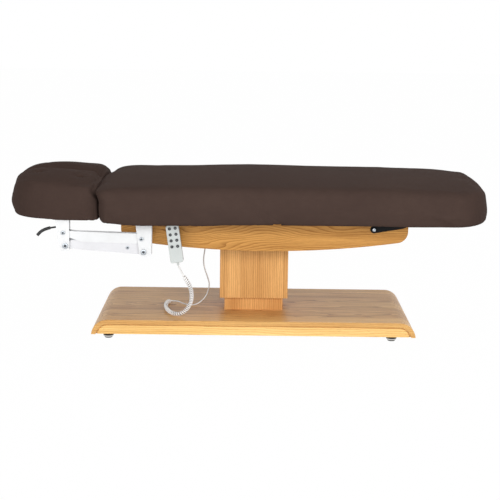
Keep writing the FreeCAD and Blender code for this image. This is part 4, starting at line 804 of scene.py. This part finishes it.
def shape_mattress(piece):
    """Tuck wrinkles and gathers at the hem, the hem's sag, slow waves on top and the full foot end."""
    p, normals = read_points(piece)
    x, y, z = p.T
    front = [(0.062, -0.050, 0.007, 0.0032), (0.092, -0.075, 0.006, 0.0026), (0.118, -0.105, 0.008, 0.0030),
             (0.020, -0.020, 0.009, 0.0016), (-0.190, 0.030, 0.008, 0.0018), (-0.225, 0.015, 0.008, 0.0014),
             (0.330, -0.020, 0.010, 0.0012), (0.500, 0.045, 0.007, 0.0018), (0.470, -0.030, 0.007, 0.0016),
             (-0.540, 0.010, 0.007, 0.0022), (-0.565, 0.004, 0.006, 0.0016)]
    rear = [(at + 0.013, lean * 0.8, width, depth) for at, lean, width, depth in front]
    depth = np.where(y < 0, fold_lines(p, front, 0.478, 0.560), fold_lines(p, rear, 0.478, 0.556))
    depth *= smooth((np.abs(y) - 0.26) / 0.08)
    turn = np.arctan2(y, x - 0.770)
    gather = 0.0011 * np.sin(turn * 46 + 1.5 * np.sin(turn * 7)) * (0.6 + 0.4 * np.sin(turn * 11))
    gather *= smooth((x - 0.78) / 0.05) * (1 - smooth((z - 0.490) / 0.045)) * smooth((z - 0.476) / 0.006)
    p -= normals * (depth + gather)[:, None]
    side = smooth((np.abs(y) - 0.315) / 0.03) * (1 - smooth((z - 0.482) / 0.045))
    z -= np.interp(x, hem_xs, hem_sags) * side
    hollow = 0.009 * np.exp(-((x - 0.097) / 0.062) ** 4)
    z += hollow * (np.abs(y) < 0.318) * (z < 0.4765)
    wave = 0.0012 * np.sin(x * 9.0 + 1.0) * np.sin(y * 7.0 + 0.5)
    z += wave * smooth((z - 0.585) / 0.02)
    far = smooth((y + 0.24) / 0.24)
    full = 0.0080 * far * bell(x, 0.905, 0.030)
    full -= 0.0008 * bell(x, 0.845, 0.030)
    full -= 0.0045 * (1 - far) * smooth((x - 0.860) / 0.045)
    z += full * smooth((z - 0.525) / 0.045)
    write_points(piece, p)


mattress = subdivided("mattress_whole", mattress_points, mattress_quads, hide)
shape_mattress(mattress)


def cut_piece(whole, name, keep_low, x):
    """The part of a piece on one side of a section, closed there with a hidden face."""
    piece = bpy.data.objects.new(name, whole.data.copy())
    piece.data.name = name
    scene.collection.objects.link(piece)
    work = bmesh.new()
    work.from_mesh(piece.data)
    gone = [f for f in work.faces if (f.calc_center_median().x > x) == keep_low]
    bmesh.ops.delete(work, geom=gone, context="FACES")
    rim = [e for e in work.edges if e.is_boundary]
    cap = bmesh.ops.contextual_create(work, geom=rim)["faces"]
    for face in cap:
        face.smooth = False
        for edge in face.edges:
            edge.smooth = False
    bmesh.ops.recalc_face_normals(work, faces=work.faces)
    work.to_mesh(piece.data)
    work.free()
    piece.data.update()
    return piece


mattress_upper = cut_piece(mattress, "mattress_back_and_seat", True, split_x)
mattress_lower = cut_piece(mattress, "mattress_legs_and_seat", False, split_x)
bpy.data.objects.remove(mattress)
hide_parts("mattress_back", "mattress_back_fold", "mattress_seat")
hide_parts("mattress_leg_fold", "mattress_legs")
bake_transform(mattress_upper)
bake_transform(mattress_lower)


# Headrest cushion with two lobes and sewn dimples
pad_head = -0.940
pad_back = -0.579
pad_half = 0.310
pad_low = 0.4755
pad_across = 26
pad_sides = (4, 8, 7)
pad_head_run = 0.2373
lobe_rise = 0.0213
lobe_half = 0.264


def pad_top(share):
    """Height of the lobes above the edge; t runs from -1 to 1 across the top."""
    def rise(t):
        y = abs(t) * lobe_half * share
        crest = 0.105 * share
        if y >= crest:
            u = (y - crest) / (lobe_half * share - crest)
            return lobe_rise * (1 - u * u)
        u = (crest - y) / crest
        return lobe_rise - 0.016 * u ** 2.2 - 0.008 * math.exp(-(y / (0.016 * share)) ** 2)
    return rise


def pad_ends(x):
    """The distances from the headrest's two ends."""
    return max(0.0, x - pad_head), max(0.0, pad_back - x)


def pad_edge(x):
    """The height of the headrest's upper edge."""
    head, back = pad_ends(x)
    return 0.6121 + 0.0483 * (-0.600 - x) - drawn_in(0.0748, 0.1315, head) - drawn_in(0.020, 0.050, back)


def pad_ring(x):
    """The headrest's section at a place along the bed."""
    head, back = pad_ends(x)
    w = min(plan_half(pad_half, pad_head_run, 2.64, head), pad_half - drawn_in(0.014, 0.014, back))
    low = pad_low + drawn_in(0.0502, 0.0216, head) + drawn_in(0.004, 0.010, back)
    ring = cushion_ring(x, w, low, pad_edge(x), pad_top(w / pad_half), 0.016, 0.040, pad_across, pad_sides)
    z = ring[:, 2]
    under_lip = 0.024 * smooth((z - 0.550) / 0.034) + 0.007 * np.clip((z - 0.580) / 0.060, 0, 1)
    ring[:, 0] += (far_lean(ring) - under_lip) * max(0.0, 1 - back / 0.060)
    return ring


pad_xs = [pad_head + e for e in end_steps(pad_head_run, 30)]
pad_xs += list(np.linspace(-0.7027, -0.629, 9)[1:-1])
pad_xs += [pad_back - e for e in end_steps(0.050, 10)[::-1]]
pad_rings = [pad_ring(x) for x in pad_xs]
pad_points, pad_quads = cushion_faces(pad_rings, pad_across, pad_sides, (0.003, 0.0))
x, y, z = pad_points.T
valley = (np.abs(y) < 0.006) & (z > 0.57)
back_face = (x > -0.596) & (z < 0.575)
pad_points = settle(pad_points, pad_quads, (z < 0.4775) | valley | back_face, 0.006, "pad_cover")
headrest = subdivided("headrest_cushion", pad_points, pad_quads, hide)


def shape_pad(piece):
    """Dimples with puckers, the middle crease, the near lobe's droop, tuck wrinkles and the hem's sag."""
    p, normals = read_points(piece)
    x, y, z = p.T
    local = np.array([pad_edge(min(at, -0.629)) for at in x])
    on_top = smooth((z - local + 0.015) / 0.02)
    depth = np.zeros(len(p))
    for at, beside in ((-0.826, 0.140), (-0.664, 0.165), (-0.826, -0.140), (-0.664, -0.165)):
        away = np.hypot(x - at, y - beside)
        angle = np.arctan2(y - beside, x - at)
        depth += 0.0160 * bell(away, 0.0, 0.010) + 0.0050 * bell(away, 0.0, 0.040)
        depth += 0.0011 * np.cos(angle * 7 + 40 * beside) * bell(away, 0.022, 0.014)
    crease = 0.0040 * bell(y, 0.0, 0.0045)
    puckers = 0.0012 * np.sin(x * 150 + 2 * np.sin(x * 31)) * bell(np.abs(y), 0.014, 0.012)
    depth += crease + puckers
    droop = 0.010 * smooth((x + 0.730) / 0.110) * smooth((-0.030 - y) / 0.070)
    p -= normals * (depth * on_top)[:, None]
    z -= droop * on_top
    front = [(-0.930, 0.012, 0.006, 0.0018), (-0.890, 0.010, 0.007, 0.0012), (-0.615, -0.010, 0.007, 0.0018),
             (-0.590, -0.004, 0.006, 0.0022), (-0.760, 0.010, 0.008, 0.0010)]
    hem = fold_lines(p, front, 0.479, 0.545) * smooth((np.abs(y) - 0.20) / 0.06)
    turn = np.arctan2(y, x + 0.760)
    gather = 0.0010 * np.sin(turn * 40 + 1.5 * np.sin(turn * 6)) * smooth((-0.830 - x) / 0.05)
    gather *= (1 - smooth((z - 0.490) / 0.04)) * smooth((z - 0.477) / 0.006)
    p -= normals * (hem + gather)[:, None]
    at_end = smooth((-0.895 - x) / 0.040)
    x -= 0.0065 * bell(z, 0.525, 0.030) * at_end
    x += 0.0035 * smooth((0.505 - z) / 0.020) * at_end
    sag = np.interp(x, [-0.900, -0.840, -0.770, -0.615, -0.585], [0.0, 0.0035, 0.0055, 0.0060, 0.0040])
    z -= sag * smooth((np.abs(y) - 0.284) / 0.016) * (1 - smooth((z - 0.482) / 0.045))
    write_points(piece, p)


shape_pad(headrest)
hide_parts("headrest_pad")
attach(headrest, "head")


# Bolt heads with sockets
def socket_bolt(name, x, z, face_y, outward, radius, thick, body, socket):
    """A round bolt head with a rounded rim and a six-sided socket, sitting on the CAD head."""
    around = 36
    rim = [(1.0, 0.0), (1.0, 0.55), (0.95, 0.80), (0.86, 0.95), (0.72, 1.0), (0.56, 1.0)]
    six_sided = [(0.44, 1.0), (0.44, 0.35)]
    rows = len(rim) + len(six_sided)
    points = []
    for row, (share, height) in enumerate(rim + six_sided):
        for k in range(around):
            angle = 2 * math.pi * k / around
            reach = share * radius
            if row >= len(rim):
                reach /= math.cos((angle + math.pi / 6) % (math.pi / 3) - math.pi / 6)
            points.append((x + reach * math.cos(angle), face_y + outward * thick * height,
                           z + reach * math.sin(angle)))
    faces = ring_strips(rows, around)
    faces.append(tuple((rows - 1) * around + k for k in range(around)))
    if outward > 0:
        faces = [f[::-1] for f in faces]
    piece = mesh_piece(name, points, faces, zinc)
    # The socket's walls and floor take the socket material, painted shade in the recess on all but the leg
    # bolt
    piece.data.materials.append(socket)
    for face in piece.data.polygons[(rows - 2) * around:]:
        face.material_index = 1
        face.use_smooth = False
    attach(piece, body)


# Each is a name, x, z, the face's distance from the middle of the bed, the radius and the body it rides on
bolts = [("bracket_upper", -0.415, 0.4025, 0.2905, 0.0078, "back"),
         ("bracket_lower", -0.407, 0.3515, 0.2905, 0.0108, "back"),
         ("carrier_upper", -0.715, 0.4235, 0.2905, 0.0078, "head"),
         ("carrier_lower", -0.707, 0.3725, 0.2905, 0.0108, "head"),
         ("spring", -0.469, 0.3665, 0.2785, 0.0070, "head_lower"),
         ("leg", 0.480, 0.4415, 0.2455, 0.0068, "leg")]
bolt_thick = 0.0026
for name, x, z, y, radius, body in bolts:
    # Every socket but the leg bolt's is painted shade, a dark grey in the recess
    socket = zinc if name == "leg" else socket_painted_shade
    socket_bolt("bolt_front_" + name, x, z, -y, -1, radius, bolt_thick, body, socket)
    if name in ("bracket_upper", "carrier_upper", "leg"):
        socket_bolt("bolt_rear_" + name, x, z, y, 1, radius, bolt_thick, body, socket)


# Arrows on the handset's buttons
def button_mark(index):
    """A thin arrow on a button, pointing up on odd ones and down on even ones."""
    low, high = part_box("handset_button_%d" % index)
    middle = (low + high) / 2
    face_y = low.y - 0.0002
    points = []
    pointing = 1 if index % 2 else -1
    shape = [(-0.0019, -0.0010), (0.0019, -0.0010), (0.0, 0.0016)]
    for depth in (0.0, 0.0004):
        for u, v in shape:
            p = across * u - down * v * pointing
            points.append((middle.x + p.x, face_y + depth, middle.z + p.z))
    faces = [(0, 1, 2), (3, 5, 4), (0, 3, 4, 1), (1, 4, 5, 2), (2, 5, 3, 0)]
    piece = mesh_piece("button_mark_%d" % index, points, faces, mark_grey, False)
    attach(piece, "button_%d" % index)


for i in range(1, 9):
    button_mark(i)


# Floor, light and world
def split_rays(tree, rays, share, lit, seen, output):
    """Shows the seen shader to a share of these kinds of rays, and the lit one to all others."""
    path = tree.nodes.new("ShaderNodeLightPath")
    level = path.outputs[rays[0]]
    for ray in rays[1:]:
        either = tree.nodes.new("ShaderNodeMath")
        either.operation = "MAXIMUM"
        tree.links.new(level, either.inputs[0])
        tree.links.new(path.outputs[ray], either.inputs[1])
        level = either.outputs[0]
    part = tree.nodes.new("ShaderNodeMath")
    part.operation = "MULTIPLY"
    part.inputs[1].default_value = share
    tree.links.new(level, part.inputs[0])
    both = tree.nodes.new("ShaderNodeMixShader")
    tree.links.new(part.outputs[0], both.inputs[0])
    tree.links.new(lit.outputs[0], both.inputs[1])
    tree.links.new(seen.outputs[0], both.inputs[2])
    tree.links.new(both.outputs[0], tree.nodes.new(output).inputs[0])


ground = bpy.data.materials.new("pale_floor")
ground.use_nodes = True
tree = ground.node_tree
tree.nodes.clear()
matt = tree.nodes.new("ShaderNodeBsdfDiffuse")
matt.inputs[0].default_value = (0.86, 0.86, 0.86, 1)
glow = tree.nodes.new("ShaderNodeEmission")
glow.inputs[1].default_value = 1.0
split_rays(tree, ("Is Camera Ray", "Is Glossy Ray"), 0.99, matt, glow, "ShaderNodeOutputMaterial")
floor_half = 20
floor_corners = [(a * floor_half, b * floor_half, 0) for a, b in ((-1, -1), (1, -1), (1, 1), (-1, 1))]
floor = mesh_piece("floor", floor_corners, [(0, 1, 2, 3)], ground, False)

world = bpy.data.worlds.new("studio")
scene.world = world
world.use_nodes = True
tree = world.node_tree
tree.nodes.clear()
fill = tree.nodes.new("ShaderNodeBackground")
fill.inputs[0].default_value = (1, 1, 1, 1)
fill.inputs[1].default_value = 0.48
plain = tree.nodes.new("ShaderNodeBackground")
plain.inputs[0].default_value = (1, 1, 1, 1)
split_rays(tree, ("Is Camera Ray", "Is Glossy Ray", "Is Transmission Ray"), 1.0, fill, plain,
           "ShaderNodeOutputWorld")


def softbox(name, place, aim, width, height, power):
    """A rectangular light at a place, turned toward its aim."""
    lamp = bpy.data.lights.new(name, "AREA")
    lamp.shape = "RECTANGLE"
    lamp.size = width
    lamp.size_y = height
    lamp.energy = power
    holder = bpy.data.objects.new(name, lamp)
    holder.location = place
    holder.rotation_mode = "QUATERNION"
    holder.rotation_quaternion = (Vector(aim) - Vector(place)).to_track_quat("-Z", "Y")
    holder.visible_camera = False
    scene.collection.objects.link(holder)


softbox("front_light", (-0.6, -5.4, 1.3), (-0.1, 0.0, 0.30), 4.0, 2.0, 112)
softbox("key_light", (2.6, -4.2, 2.3), (0.0, 0.0, 0.35), 1.3, 1.0, 80)
softbox("left_light", (-3.2, -3.6, 1.2), (-0.7, 0.0, 0.45), 1.6, 1.4, 34)
softbox("over_light", (1.7, -1.2, 4.0), (0.5, 0.0, 0.4), 3.0, 3.0, 42)
